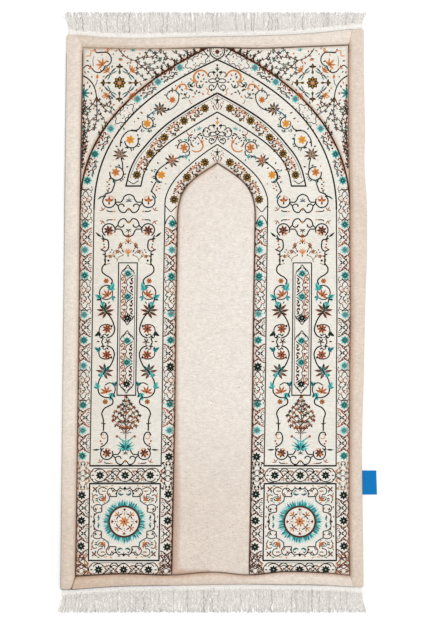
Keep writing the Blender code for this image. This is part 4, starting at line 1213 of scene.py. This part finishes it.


# How strong the painted shade in the crease of a seam is, 0 to 1: set by how the light falls, deep on the
# shaded seams, hardly any at the top left
def seamCreaseShade(points):
    x, y = points[:, 0], points[:, 1]
    left = np.interp(y, (-0.45, -0.3, 0.1, 0.25, 0.5), (0.85, 0.66, 0.62, 1.0, 0.8))
    top = np.interp(x, (-0.14, -0.06, 0.0, 0.06), (0.05, 0.6, 1.0, 0.8))
    foot = np.select([x > 0.24, abs(x - middleAt(y)) < 0.09], [0.5 + 0 * x, 0.55 + 0 * x], 1.0)
    field = np.where(x < 0, np.interp(y, (-0.45, -0.3), (1.0, 0.68)), np.interp(y, (-0.2, 0.2), (1.0, 0.85)))
    return np.select([y < -0.555, y > 0.56, x < -0.275, x > 0.275], [foot, top, left, 0.36 + 0 * x], field)


# Part of its usual distance at which the shade of a seam fades: it reaches far into the niche at
# the lower left
def shadeReach(points):
    x, y = points[:, 0] - middleAt(points[:, 1]), points[:, 1]
    least = np.interp(y, (-0.4, -0.1), (0.36, 1.0))
    return np.where(x > -0.085, least + (1 - least) * np.interp(x, (-0.07, -0.01), (0.0, 1.0)), 1.0)


# Painted shade tone of the pile: the niche darkens towards its foot, the field towards the left
def paintedShadeGradient(points):
    x, y = points[:, 0] - middleAt(points[:, 1]), points[:, 1]
    niche = np.interp(y, (-0.4, -0.2, 0.1, 0.3), (0.96, 0.995, 0.995, 0.98))
    return np.where(abs(x) < 0.085, niche, np.interp(x, (-0.3, 0.0), (0.965, 0.99)))


# Height of the padding: a quarter round up from every seam, a slow swell, small puckers where the
# seam gathers the cloth, and a V with soft lips along each sewn channel
def padHeight(points, seamAway, channelAway):
    x, y = points[:, 0], points[:, 1]
    part = np.minimum(seamAway / padding["shoulder"], 1)
    rise = padding["height"] - padding["seamHeight"]
    height = padding["seamHeight"] + rise * np.sqrt(1 - (1 - part) ** 2)
    height += padding["swell"] * np.sin(17 * x + 5 * y + 0.6) * np.cos(11 * y - 4 * x + 0.3) * part
    gather = np.sin(290 * x + 60 * y + 2 * np.sin(23 * y)) * np.cos(260 * y - 40 * x + 2 * np.sin(19 * x))
    height += padding["pucker"] * gather * part * (1 - part) * 4
    near = np.minimum(channelAway / padding["channelShoulder"], 1)
    return height - padding["channelDepth"] * (1 - near) ** 1.5 * part


# Points of a padded cloth's top: outline, rows beside it and beside the channels, and a grid
def clothPoints(outline, channels):
    rows = [outline] + [insetLoop(outline, depth) for depth in padding["rows"]]
    rows[1:] = [row[inside(row, outline)] for row in rows[1:]]
    for channel in channels:
        run = np.gradient(channel, axis=0)
        across = np.stack((run[:, 1], -run[:, 0]), 1) / np.linalg.norm(run, axis=1)[:, None]
        for offset in padding["channelRows"]:
            row = channel + across * offset
            rows.append(row[inside(row, outline) & (distanceTo(row, outline, True) > 0.0006)])
    xs, ys = (np.arange(outline[:, i].min(), outline[:, i].max(), padding["grid"]) for i in (0, 1))
    grid = np.stack(np.meshgrid(xs, ys), 2).reshape(-1, 2)
    grid = grid[inside(grid, outline)]
    rows.append(grid[distanceTo(grid, outline, True) > padding["rows"][-1]])
    return np.concatenate(rows)


# Triangles of a cloth cut along every printed edge, and which printed shape is on top of each
def cutCloth(outline, channels, polygons):
    points = clothPoints(outline, channels)
    count = len(points)
    faces = [list(range(len(outline)))[::-1]]
    for polygon, _ in polygons:
        faces.append(list(range(count, count + len(polygon))))
        count += len(polygon)
    points = np.concatenate([points] + [polygon for polygon, _ in polygons])
    cut = delaunay_2d_cdt([Vector(p) for p in points], [], faces, 0, 1e-6, True)
    flat, triangles, sources = np.array([tuple(v) for v in cut[0]]), cut[2], cut[5]
    low = np.array([outline.min(0)] + [p.min(0) for p, _ in polygons]) - 1e-5
    high = np.array([outline.max(0)] + [p.max(0) for p, _ in polygons]) + 1e-5
    middles = flat[np.array(triangles)].mean(1)
    kept, tops = [], []
    for triangle, middle, covers in zip(triangles, middles, sources):
        covers = [c for c in covers if (low[c] < middle).all() and (middle < high[c]).all()]
        if 0 in covers:
            kept.append(triangle)
            tops.append(max(covers))
    return flat, kept, tops


# A padded cloth: its cut top, an upright wall at its seams, a flat back
def paddedCloth(name, outline, channels, art, material, nodes, warmShadeSides):
    outline = insetLoop(outline, rug["seamGap"] / 2)
    polygons = soundPolygons(art)
    flat, kept, tops = cutCloth(outline, channels, polygons)
    seamAway = distanceTo(flat, outline, True)
    channelAway = np.full(len(flat), 1.0)
    for channel in channels:
        channelAway = np.minimum(channelAway, distanceTo(flat, channel))
    height = padHeight(flat, seamAway, channelAway)
    # how strong the painted warm shade is left and right of the middle, and by a channel: strong outside the
    # arch, faint inside it
    warm = np.where(flat[:, 0] < middleAt(flat[:, 1]), *warmShadeSides)
    if channels:
        under = inside(flat, np.concatenate((channels[0], channels[1][::-1])))
        warm = np.where(channelAway < seamAway, np.where(under, 0.1, 0.7), warm)
    # painted shade beside the seams and channels: distances to a warm shade and a dark crease shade, their
    # strengths, and a painted shade tone
    shades = {
        "warmShadeAway": np.minimum(seamAway * shadeReach(flat), channelAway * padding["channelWarmShadeReach"]) * 1000,
        "creaseShadeAway": np.minimum(seamAway, channelAway * padding["channelCreaseReach"]) * 1000,
        "seamCreaseShade": np.where(channelAway < seamAway, padding["channelCreaseShade"], seamCreaseShade(flat)),
        "seamWarmShade": warm, "paintedShadeTone": paintedShadeGradient(flat),
    }
    shown = bmesh.new()
    layers = [shown.verts.layers.float.new(title) for title in shades]
    tone = shown.loops.layers.float_color.new("ink")
    made = [shown.verts.new((x, y, z)) for (x, y), z in zip(flat, height)]
    for vert, values in zip(made, zip(*shades.values())):
        for layer, value in zip(layers, values):
            vert[layer] = value
    palette = {colour: (*linear(value), 1) for colour, value in ink.items()}
    colours = [palette["ground"]] + [palette[colour] for _, colour in polygons]
    for triangle, top in zip(kept, tops):
        face = shown.faces.new([made[i] for i in triangle])
        face.smooth = True
        for loop in face.loops:
            loop[tone] = colours[top]
    bmesh.ops.delete(shown, geom=[v for v in shown.verts if not v.link_faces], context="VERTS")
    rim = [edge for edge in shown.edges if edge.is_boundary]
    wall = bmesh.ops.extrude_edge_only(shown, edges=rim)["geom"]
    for vert in wall:
        if isinstance(vert, bmesh.types.BMVert):
            vert.co.z = 0
    foot = [edge for edge in wall if isinstance(edge, bmesh.types.BMEdge)]
    back = bmesh.ops.contextual_create(shown, geom=foot)["faces"]
    bmesh.ops.recalc_face_normals(shown, faces=shown.faces)
    for face in back:
        face.material_index = 1
        face.smooth = False
    for edge in foot + rim:
        edge.smooth = False
    mesh = bpy.data.meshes.new(name)
    shown.to_mesh(mesh)
    shown.free()
    piece = addPiece(name, mesh, material, nodes)
    mesh.materials.append(backingCloth)
    print(name, len(mesh.vertices), "points,", len(kept), "faces,", len(polygons), "printed shapes")


# Materials

# One node with its values, links and settings; gives the output that is asked for
def addNode(tree, kind, values=(), links=(), out=0, **settings):
    node = tree.nodes.new("ShaderNode" + kind)
    for key, value in settings.items():
        setattr(node, key, value)
    for socket, value in dict(values).items():
        node.inputs[socket].default_value = value
    for socket, source in dict(links).items():
        tree.links.new(source, node.inputs[socket])
    return node.outputs[out]


# A material with values on its shader's own sockets
def newMaterial(name, values):
    material = bpy.data.materials.new(name)
    material.use_nodes = True
    for socket, value in values.items():
        material.node_tree.nodes["Principled BSDF"].inputs[socket].default_value = value
    return material, material.node_tree


# The varied colour and the bump of a surface, linked to its shader
def dress(tree, colour, shade, strength, distance, height):
    shader = tree.nodes["Principled BSDF"]
    shaded = addNode(tree, "VectorMath", (), {0: colour, 3: shade}, operation="SCALE")
    bump = addNode(tree, "Bump", {"Strength": strength, "Distance": distance}, {"Height": height})
    tree.links.new(shaded, shader.inputs["Base Color"])
    tree.links.new(bump, shader.inputs["Normal"])


velvet = {
    "pileMm": 2.4,        # tufts of pile, drawn as coarse as the picture can hold
    "mottleMm": 7.0,      # patches where the nap lies another way
    "napMm": 60.0,        # hand-wide strokes in the nap
    "weaveMm": 2.2,       # length across the streaks of the weave that show through
    "warmShadeMm": 10.0, "creaseShadeMm": 2.9,      # how far the painted warm shade and the painted dark shade in the crease of a seam reach
    "mottle": 0.05, "nap": 0.05, "pile": 0.15, "weave": 0.11,
    # painted warm shade beside a seam, painted dark shade in its crease, brown flecks, and painted warm shade
    # where the pile tone is painted darker
    "warmShade": "#d09d78", "creaseShade": "#3a1e0c", "fleck": "#a98468", "wearAndShade": "#e8cbb0",
    "roughness": 0.88, "sheen": 0.25,
}


# Knitted polyester velvet, brushed: short matt pile that scatters light, mottled where the nap turns
def velvetMaterial(name, base, warmShade, mottle=1.0, allOver=0.0, specks=0.0):
    material, tree = newMaterial(name, {
        "Roughness": velvet["roughness"], "Sheen Weight": velvet["sheen"],
        "Sheen Roughness": 0.45, "Specular IOR Level": 0.15})
    onCloth = addNode(tree, "TexCoord", out="Object")
    # painted shade tone, set per point, that darkens the colour
    nap = addNode(tree, "Attribute", out="Fac", attribute_name="paintedShadeTone")
    shade, noises = nap, {}
    streaks = addNode(tree, "VectorMath", {1: (0.22, 1.0, 1.0)}, {0: onCloth}, operation="MULTIPLY")
    for kind, detail in (("pile", 2), ("mottle", 3), ("nap", 2), ("weave", 1)):
        noises[kind] = addNode(tree, "TexNoise", {"Scale": 1000 / velvet[kind + "Mm"], "Detail": detail},
                               {"Vector": streaks if kind == "weave" else onCloth})
        reach = velvet[kind] * (mottle if kind == "mottle" else 1.0)
        part = addNode(tree, "MapRange", {1: 0.25, 2: 0.75, 3: 1 - reach, 4: 1 + reach * 0.5},
                       {0: noises[kind]})
        shade = addNode(tree, "Math", (), {0: shade, 1: part}, operation="MULTIPLY")
    if base is None:
        colour = addNode(tree, "Attribute", out="Color", attribute_name="ink")
    else:
        colour = addNode(tree, "RGB")
        colour.default_value = (*linear(base), 1)
    if specks:
        fleck = addNode(tree, "MapRange", {1: 0.58, 2: 0.68, 3: 0.0, 4: specks}, {0: noises["pile"]})
        # brown flecks show in patches of wear and wherever the painted shade tone is low
        wearAndShade = addNode(tree, "MapRange", {1: 0.5, 2: 0.64, 3: 0.0, 4: 1.0}, {0: noises["nap"]})
        foot = addNode(tree, "MapRange", {1: 0.95, 2: 0.99, 3: 1.0, 4: 0.0}, {0: nap})
        wearAndShade = addNode(tree, "Math", (), {0: wearAndShade, 1: foot}, operation="MAXIMUM")
        fleck = addNode(tree, "Math", (), {0: fleck, 1: wearAndShade}, operation="MULTIPLY")
        colour = addNode(tree, "Mix", {7: (*linear(velvet["fleck"]), 1)}, {0: fleck, 6: colour}, 2,
                         data_type="RGBA")
    # painted warm shade: the colour warms where the painted shade tone darkens the pile
    shadeWarming = addNode(tree, "MapRange", {1: 0.8, 2: 1.0, 3: 1.0, 4: 0.0}, {0: nap})
    colour = addNode(tree, "Mix", {7: (*linear(velvet["wearAndShade"]), 1)}, {0: shadeWarming, 6: colour}, 2,
                     data_type="RGBA", blend_type="MULTIPLY")
    # painted shade beside seams and channels: a warm shade that fades to allOver away from them, and a dark
    # shade in the crease, each weighted by its point attribute
    for tone, strength, least, weight, way in (
            ("warmShade", warmShade, allOver, "seamWarmShade", "MULTIPLY"), ("creaseShade", 0.97, 0.0, "seamCreaseShade", "MIX")):
        near = addNode(tree, "Attribute", out="Fac", attribute_name=tone + "Away")
        part = addNode(tree, "MapRange", {1: 0.0, 2: velvet[tone + "Mm"], 3: strength, 4: least}, {0: near},
                       interpolation_type="SMOOTHERSTEP")
        weigh = addNode(tree, "Attribute", out="Fac", attribute_name=weight)
        part = addNode(tree, "Math", (), {0: part, 1: weigh}, operation="MULTIPLY")
        colour = addNode(tree, "Mix", {7: (*linear(velvet[tone]), 1)}, {0: part, 6: colour}, 2,
                         data_type="RGBA", blend_type=way)
    dress(tree, colour, shade, 0.35, 0.0006, noises["pile"])
    return material


# Twisted or woven thread: fine ridges across the run, a little uneven in tone
def threadMaterial(name, base, ridgeMm, tone, roughness, bands="X", specular=0.2, strandTone=False):
    material, tree = newMaterial(name, {"Roughness": roughness, "Specular IOR Level": specular})
    onThread = addNode(tree, "TexCoord", out="Object")
    ridge = addNode(tree, "TexWave", {"Scale": 1000 / ridgeMm / 20, "Distortion": 1.5, "Detail": 1.0},
                    {"Vector": onThread}, "Fac", bands_direction=bands)
    noise = addNode(tree, "TexNoise", {"Scale": 420.0, "Detail": 3.0}, {"Vector": onThread})
    part = addNode(tree, "MapRange", {1: 0.3, 2: 0.7, 3: 1 - tone, 4: 1.0}, {0: noise})
    if strandTone:
        own = addNode(tree, "Attribute", out="Fac", attribute_name="strandTone")
        part = addNode(tree, "Math", (), {0: part, 1: own}, operation="MULTIPLY")
    colour = addNode(tree, "RGB")
    colour.default_value = (*linear(base), 1)
    dress(tree, colour, part, 0.4, 0.0003, ridge)
    return material


# the third value is how strong the painted warm shade beside the seams is, the fifth how much of it lies over
# the whole piece
printedVelvet = velvetMaterial("printedVelvet", None, 0.9, 0.75)
plainVelvet = velvetMaterial("brushedBeigeVelvet", "#f2e8dc", 0.6, 2.4, 0.12, 0.2)
nicheVelvet = velvetMaterial("mottledBeigeVelvet", "#f2eae1", 0.6, 2.0, 0.03, 0.75)
backingCloth = threadMaterial("wovenCottonBacking", "#cfc4b2", 1.2, 0.12, 0.9)
yarn = threadMaterial("twistedCottonYarn", "#fffaf3", 1.1, 0.24, 0.85, "Y", strandTone=True)
wovenHeader = threadMaterial("wovenYarnHeading", "#fdfaf5", 1.4, 0.22, 0.85)
satinRibbon = threadMaterial("satinWovenRibbon", "#1479bd", 0.9, 0.10, 0.7, specular=0.05)
print("materials made")


# Field and niche

# Niche outline from the left foot over the apex to the right foot
def nicheOutline():
    arch = archHalf("niche", 40)
    width, spring = arches["niche"][:2]
    leg = np.stack((np.full(130, width), np.linspace(0, spring, 131)[:-1]), 1)
    half = np.concatenate((leg, arch))
    left = onRug(half * (-1, 1))
    right = onRug(half[:-1])
    for foot in (left, right):
        foot[0, 1] = sideAt("bottom", 2, foot[:1, 0])[0]
    return left, right[::-1]


# The field and the niche, both cut by the niche's outline and the seams of the strips
def makePads():
    left, right = nicheOutline()
    bottom = sidePoints("bottom", 2, 120)
    clear = 0.003
    rightFoot, leftFoot = right[-1, 0], left[0, 0]
    under = (bottom[:, 0] > leftFoot + clear) & (bottom[:, 0] < rightFoot - clear)
    seam = [sidePoints(side, 2, count)[:-1] for side, count in (("left", 230), ("top", 120), ("right", 230))]
    field = np.concatenate((*seam, bottom[bottom[:, 0] > rightFoot + clear], right[::-1], left[::-1],
                            bottom[bottom[:, 0] < leftFoot - clear][:-1]))
    niche = np.concatenate((left, right, bottom[under]))
    channels = []
    for side in (-1, 1):
        channel = onRug(archHalf("outer", 110) * (side, 1))
        channels.append(channel[inside(channel, field)])
    # the last pair: how strong the painted warm shade is left and right of the middle
    paddedCloth("fieldCloth", field, channels, printDrawing(), printedVelvet, ["field_panel"],
                (0.55, 0.45))
    paddedCloth("nichePad", niche, (), [], nicheVelvet, ["niche_panel"], (1.0, 0.12))


makePads()


# Border strips

border = {
    "crown": 0.0125, "swell": 0.04,
    "endDip": 0.28, "endReach": 0.004,         # part of the height lost at a joint, and over what length
    "gather": 0.00022, "wrinkle": 0.0003,      # small folds beside the seam, and farther out
    # how strong the painted warm shade beside the seam is, how many mm of it count as one, and the same
    # for the painted crease shade at the outer edge
    "shadeTones": {"left": (0.6, 1.0, 1.2), "right": (0.85, 1.5, 4.0),
              "top": (0.25, 1.2, 1.3), "bottom": (0.8, 1.2, 0.9)},
    # painted shade: how light each strip is painted at places along it, standing in for how the light falls,
    # by y for the sides and by x for the ends
    "nap": {
        "left": ((-0.5, 0.945), (-0.2, 1.01), (0.3, 1.01), (0.6, 0.98)),
        "right": ((-0.5, 0.955), (0.2, 0.968), (0.6, 0.965)),
        "top": ((-0.28, 0.945), (0.0, 0.985), (0.25, 0.99)),
        "bottom": ((-0.28, 0.9), (0.0, 0.96), (0.2, 1.01)),
    },
    # how much of each corner's joint shows, as a dip in the strip and as painted shade at the joint
    "joints": {"bottomLeft": 1.0, "topLeft": 0.15, "topRight": 0.65, "bottomRight": 0.3},
    # part of the width from the seam, part of the crown
    "section": ((0.00, 0.0), (0.00, 0.36), (0.08, 0.62), (0.22, 0.86), (0.42, 0.99), (0.62, 0.98),
                (0.80, 0.85), (0.93, 0.62), (1.00, 0.36), (0.97, 0.21), (0.88, 0.0)),
}


# Where a corner's joint meets the end edge, as a part of that edge's run
def jointPart(side, corner):
    first, last, _ = sides[side]
    start, end = rug["corners"][first][0], rug["corners"][last][0]
    return (rug["corners"][corner][4] - start) / (end - start)


# Matching outer and seam points of a strip from joint to joint; a side strip turns both corners
def stripRails(side):
    first, last, axis = sides[side]
    count = 200 if axis else 104
    inner = sidePoints(side, 2, count)
    if axis == 0:
        outer = sidePoints(side, 1, count, jointPart(side, first), jointPart(side, last))
    else:
        turns = []
        ends = ("bottom", "top") if side == "left" else ("top", "bottom")
        for corner, near in zip((first, last), ends):
            row = np.array(rug["corners"][corner])
            part = jointPart(near, corner)
            joint = sidePoints(near, 1, 2, part, part)[0]
            draw = row[2:4] - row[:2]
            tip = row[:2] + rug["cornerRound"] * draw / np.linalg.norm(draw)
            turns.append((joint, (joint + tip) / 2, tip))
        outer = np.concatenate((turns[0], sidePoints(side, 1, count)[1:-1], turns[1][::-1]))
        fan = np.array((0.0, 0.25, 0.5))[:, None]
        inner = np.concatenate((inner[0] + (inner[1] - inner[0]) * fan, inner[1:-1],
                                (inner[-1] + (inner[-2] - inner[-1]) * fan)[::-1]))
    for end in (0, -1):
        joint = outer[end] - inner[end]
        square = np.array((joint[1], -joint[0])) / np.linalg.norm(joint)
        square *= np.sign(square @ (inner[len(inner) // 2] - inner[end])) * rug["seamGap"] / 2
        outer[end] += square
        inner[end] += square
    return outer, inner, travelled(outer)


# A puffed strip: the section's curve carried along both rails, drawn down at its ends and
# gathered a little along the seam
def borderStrip(side):
    outer, inner, places = stripRails(side)
    section = np.array(border["section"])
    steps = np.concatenate(([0], np.linspace(1, len(section) - 1, 24)))
    profile = np.stack([np.interp(steps, np.arange(len(section)), section[:, i]) for i in (0, 1)], 1)
    shows = [border["joints"][corner] for corner in sides[side][:2]]
    firstEnd, lastEnd = (np.exp(-away / border["endReach"]) for away in (places, places[-1] - places))
    drawn = 1 - border["endDip"] * (shows[0] * firstEnd + shows[1] * lastEnd)
    lift = (1 + border["swell"] * np.sin(9 * outer[:, 0] + 15 * outer[:, 1])) * drawn
    part, high = profile[:, 0], profile[:, 1]
    spread = inner[:, None, :] + (outer - inner)[:, None, :] * part[None, :, None]
    gather = np.sin(places * 310 + 1.6 * np.sin(places * 41))[:, None]
    gather = gather * np.exp(-((part - 0.16) / 0.12) ** 2)[None]
    wrinkle = np.sin(places * 95 + 2 * np.sin(places * 17))[:, None]
    wrinkle = wrinkle * np.exp(-((part - 0.7) / 0.2) ** 2)[None]
    z = border["crown"] * high[None] * lift[:, None]
    z += (border["gather"] * gather + border["wrinkle"] * wrinkle) * (high[None] > 0.5)
    grid = np.concatenate((spread, z[..., None]), 2)
    mesh = closedShell(f"border{side.capitalize()}", grid)
    mesh.set_sharp_from_angle(angle=math.radians(50))
    wholeWidth = np.linalg.norm(outer - inner, axis=1)[:, None]
    width = wholeWidth * part[None] * 1000
    fade = 4 * np.minimum(2.2 * part, 1)[None]         # mm, for a joint that closes outwards
    toEnd = np.minimum(places[:, None] * 1000 + fade * (1 - shows[0]),
                       (places[-1] - places)[:, None] * 1000 + fade * (1 - shows[1]))
    ends = np.minimum(toEnd * 3 + 0.9, 20)
    # painted shade: warm shade and dark crease shade by the seam and the joints, dark crease shade along the
    # outer edge
    warm, wide, edge = border["shadeTones"][side]
    rim = wholeWidth * np.maximum(1 - part, 0)[None] * 1000
    pointValues(mesh, "warmShadeAway", np.minimum(width / wide, ends).ravel())
    pointValues(mesh, "creaseShadeAway", np.minimum(np.minimum(width, ends), rim * edge).ravel())
    pointValues(mesh, "seamCreaseShade", seamCreaseShade(grid.reshape(-1, 3)))
    pointValues(mesh, "seamWarmShade", np.full(len(mesh.vertices), warm))
    # painted shade tone along the strip
    way = grid[..., sides[side][2]].ravel()
    pointValues(mesh, "paintedShadeTone", np.interp(way, *np.array(border["nap"][side]).T))
    piece = addPiece(mesh.name, mesh, plainVelvet, [f"border_{side}"])


for side in sides:
    borderStrip(side)
print("border strips sewn")


# Fringes

fringe = {
    "header": 0.014, "headerHeight": 0.0017, "tuck": 0.0006, "inset": 0.003, "rib": 0.0024,
    "topTips": 0.6490, "bottomTips": -0.6545,
    "strands": 720, "clump": 0.0246, "radius": 0.00068, "fan": 0.009, "kink": 0.0007, "tipShade": 0.28,
    "sway": 0.0013, "scatter": 0.0015, "rootDepth": 0.006, "teeth": 0.002, "trim": 0.003,
    "darkPart": 0.10,          # part of the strands painted darker, as painted shadow among the strands
}


# Tubes round many paths at once: a ring of points square to each path, joined by quads
def tubes(name, paths, radii, corners=4):
    run = np.gradient(paths, axis=1)
    run /= np.linalg.norm(run, axis=2)[..., None]
    across = np.cross(run, (0.0, 0.0, 1.0))
    across /= np.linalg.norm(across, axis=2)[..., None]
    up = np.cross(across, run)
    angle = (np.arange(corners) + 0.5) / corners * 2 * math.pi
    ring = np.cos(angle)[:, None] * across[:, :, None] + np.sin(angle)[:, None] * up[:, :, None]
    points = paths[:, :, None] + ring * radii[..., None, None]
    count, steps = paths.shape[:2]
    index = np.arange(count * steps * corners).reshape(count, steps, corners)
    after = np.roll(index, -1, axis=2)
    sidesOf = np.stack((index[:, :-1], after[:, :-1], after[:, 1:], index[:, 1:]), 3).reshape(-1, 4)
    caps = np.concatenate((index[:, 0, ::-1], index[:, -1]))
    faces = sidesOf.tolist() + caps.tolist()
    return newMesh(name, points.reshape(-1, 3), faces)


# Strands from the header to a level trimmed line: they lean to the middle of their clump, the
# clump's outer strands end shorter, and the last ones splay past the corner
def strandPaths(edge, outward, tips, seed):
    chance = np.random.default_rng(seed)
    count, steps = fringe["strands"], 14
    left, right = edge[0, 0] + fringe["inset"], edge[-1, 0] - fringe["inset"]
    layer = np.arange(count) % 2
    across = (np.arange(count) + 0.5) / count
    rootX = left + (right - left) * across
    above = fringe["header"] - 0.001 - fringe["rootDepth"] * chance.random(count)
    rootY = np.interp(rootX, edge[:, 0], edge[:, 1]) + above * outward
    clump = (rootX - left) / fringe["clump"]
    off = (clump - np.floor(clump) - 0.5) * 2
    lean = -off * 0.0006
    tipX = rootX + lean + fringe["fan"] * (2 * across - 1) ** 9 + chance.normal(0, fringe["scatter"], count)
    teeth = np.abs(np.sin(310 * rootX + 1.7 * np.sin(47 * rootX)))
    short = 0.0012 * np.abs(off) ** 4 + fringe["teeth"] * teeth ** 3
    short = short + fringe["trim"] * chance.random(count) ** 2
    short += fringe["trim"] * (chance.random(count) < 0.07)
    tipY = tips - short * outward
    part = np.linspace(0, 1, steps)[None]
    sway = chance.normal(0, fringe["sway"], count)[:, None]
    sway = sway * np.sin(math.pi * part * chance.uniform(0.8, 3.2, count)[:, None])
    kinks, phase = chance.uniform(2.5, 4.5, count)[:, None], chance.uniform(0, 6.3, count)[:, None]
    sway += fringe["kink"] * np.sin(2 * math.pi * kinks * part + phase) * np.minimum(4 * part, 1)
    x = rootX[:, None] + (tipX - rootX)[:, None] * part ** 1.5 + sway
    y = rootY[:, None] + (tipY - rootY)[:, None] * part
    radius = fringe["radius"] * (1 - 0.25 * part ** 3) * chance.uniform(0.85, 1.12, count)[:, None]
    lift = radius * 1.05 + layer[:, None] * 0.0009 * (1 - 0.5 * part)
    lift = lift + 0.0002 * np.sin(9 * part + across[:, None] * 700)
    # painted shadow: a part of the strands darker than the rest
    tone = np.where(chance.random(count) < fringe["darkPart"], chance.uniform(0.5, 0.8, count),
                    chance.uniform(0.97, 1, count))
    shade = fringe["tipShade"] * chance.random(count)[:, None] * np.clip(part * 4 - 3, 0, 1)
    tone = tone[:, None] * (1 - shade)
    return np.stack((x, y, np.maximum(lift, radius)), 2), radius, tone


# The woven heading: ribs run out from the rug's edge over a flat band, closed below
def headerMesh(name, edge, outward):
    left, right = edge[0, 0] + fringe["inset"], edge[-1, 0] - fringe["inset"]
    xs = np.linspace(left, right, 1040)
    base = np.interp(xs, edge[:, 0], edge[:, 1])
    part = np.array((0.0, 0.06, 0.2, 0.4, 0.6, 0.8, 0.94, 1.0))
    y = base[:, None] + (-fringe["tuck"] + (fringe["header"] + fringe["tuck"]) * part[None]) * outward
    rib = np.abs(np.sin(math.pi * (xs - left) / fringe["rib"]))[:, None]
    crown = np.sin(math.pi * np.clip(part, 0.04, 0.96))[None] ** 0.3
    weft = 1 + 0.08 * np.cos(part * math.pi * 6)[None]
    z = fringe["headerHeight"] * crown * (0.78 + 0.22 * rib) * weft
    top = np.stack((np.repeat(xs[:, None], len(part), 1), y, z), 2)
    bottom = top.copy()
    bottom[..., 2] = 0
    return closedShell(name, np.concatenate((top, bottom[:, ::-1]), 1))


# A fringe: its strands, and the heading sewn to the rug that holds them
def makeFringe(side, outward, tips, seed):
    edge = sidePoints(side, 1, 200)
    edge = edge[np.argsort(edge[:, 0])]
    title = side.capitalize()
    paths, radii, tone = strandPaths(edge, outward, tips, seed)
    mesh = tubes(f"fringe{title}", paths, radii)
    pointValues(mesh, "strandTone", np.repeat(tone, len(mesh.vertices) // tone.size))
    strands = addPiece(mesh.name, mesh, yarn, [f"fringe_{side}"])
    mesh = headerMesh(f"heading{title}", edge, outward)
    header = addPiece(mesh.name, mesh, wovenHeader, ())


makeFringe("top", 1, fringe["topTips"], 3)
makeFringe("bottom", -1, fringe["bottomTips"], 4)
print("fringes tied")


# Side label

label = {
    "height": 0.052, "reach": 0.0322, "layer": 0.0006, "slit": 0.0003, "middleY": -0.3717,
    "tuck": 0.0006,            # how far it is sewn into the edge
    "lift": 0.00035, "slant": 0.0009,
}


# A ribbon folded double: out along the floor, round a half-circle fold and back on top, given a
# wall thickness; its free corners lift a little
def sideLabel():
    edge = sidePoints("right", 1, 200)
    edge = edge[np.argsort(edge[:, 1])]
    ys = np.linspace(label["middleY"] - label["height"] / 2, label["middleY"] + label["height"] / 2, 30)
    root = np.interp(ys, edge[:, 1], edge[:, 0]) - label["tuck"]
    outerR, innerR, reach = label["layer"] + label["slit"] / 2, label["slit"] / 2, label["reach"]
    turn = np.linspace(-90, 90, 9) * math.pi / 180
    run = np.concatenate(([0, 0.25, 0.5, 0.75], 1 + 0 * turn, [0.75, 0.5, 0.25, 0])) * (reach - outerR)
    bow = np.concatenate(([0] * 4, np.cos(turn), [0] * 4))
    rise = np.concatenate(([-1] * 4, np.sin(turn), [1] * 4))
    loopX = np.concatenate((run + bow * outerR, (run + bow * innerR)[::-1]))
    loopZ = np.concatenate((outerR + rise * outerR, (outerR + rise * innerR)[::-1]))
    part = (ys - ys[0]) / (ys[-1] - ys[0])
    wave = label["lift"] * np.sin(part * 7.0)[:, None] * (loopX / reach)[None] ** 2
    slant = label["slant"] * (0.5 - part)[:, None] * (loopX / reach)[None]
    lifted = np.maximum(loopZ[None] + wave * (loopZ[None] > outerR), 0)
    grid = np.stack((root[:, None] + loopX[None] + slant, np.repeat(ys[:, None], len(loopX), 1), lifted), 2)
    columns = len(loopX)
    index, faces = ringFaces(len(ys), columns)
    for row, way in ((0, 1), (-1, -1)):                # the ribbon's two open ends, closed by quads
        for k in range(columns // 2 - 1):
            faces.append(index[row, [k, k + 1, columns - 2 - k, columns - 1 - k]][::way].tolist())
    mesh = newMesh("sideLabel", grid.reshape(-1, 3), faces)
    turnOutwards(mesh)
    mesh.set_sharp_from_angle(angle=math.radians(45))
    piece = addPiece("sideLabel", mesh, satinRibbon, ["side_label"])


sideLabel()
print("label folded")


# Floor, light and camera

studio = {
    "floor": "#ffffff", "world": 0.79, "key": 38.0, "keyAt": (0.9, 0.6, 3.15), "keySize": 1.8,
    "lens": 85.0, "sensor": 36.0, "cameraAt": (-0.0076, -0.0097, 3.230),
}


# A white floor, one wide soft light above, and a camera that looks straight down
def makeStudio():
    floorMesh = newMesh("floor", [(-4, -4, 0), (4, -4, 0), (4, 4, 0), (-4, 4, 0)], [(0, 1, 2, 3)], False)
    paint = newMaterial("mattPaintedFloor", {
        "Base Color": (*linear(studio["floor"]), 1), "Roughness": 0.9, "Specular IOR Level": 0.1})[0]
    floorMesh.materials.append(paint)
    newObject("floor", floorMesh)
    world = bpy.data.worlds.new("studio")
    world.use_nodes = True
    background = world.node_tree.nodes["Background"].inputs
    background["Color"].default_value = (1, 1, 1, 1)
    background["Strength"].default_value = studio["world"]
    light = bpy.data.lights.new("key", "AREA")
    light.energy, light.size = studio["key"], studio["keySize"]
    key = newObject("key", light)
    key.location = studio["keyAt"]
    key.rotation_euler = (-Vector(studio["keyAt"])).to_track_quat("-Z", "Y").to_euler()
    lens = bpy.data.cameras.new("camera")
    lens.lens, lens.sensor_fit, lens.sensor_height = studio["lens"], "VERTICAL", studio["sensor"]
    camera = newObject("camera", lens)
    camera.location = studio["cameraAt"]
    scene = bpy.context.scene
    scene.camera, scene.world = camera, world
    scene.view_settings.view_transform = "Standard"


makeStudio()
print("studio set")
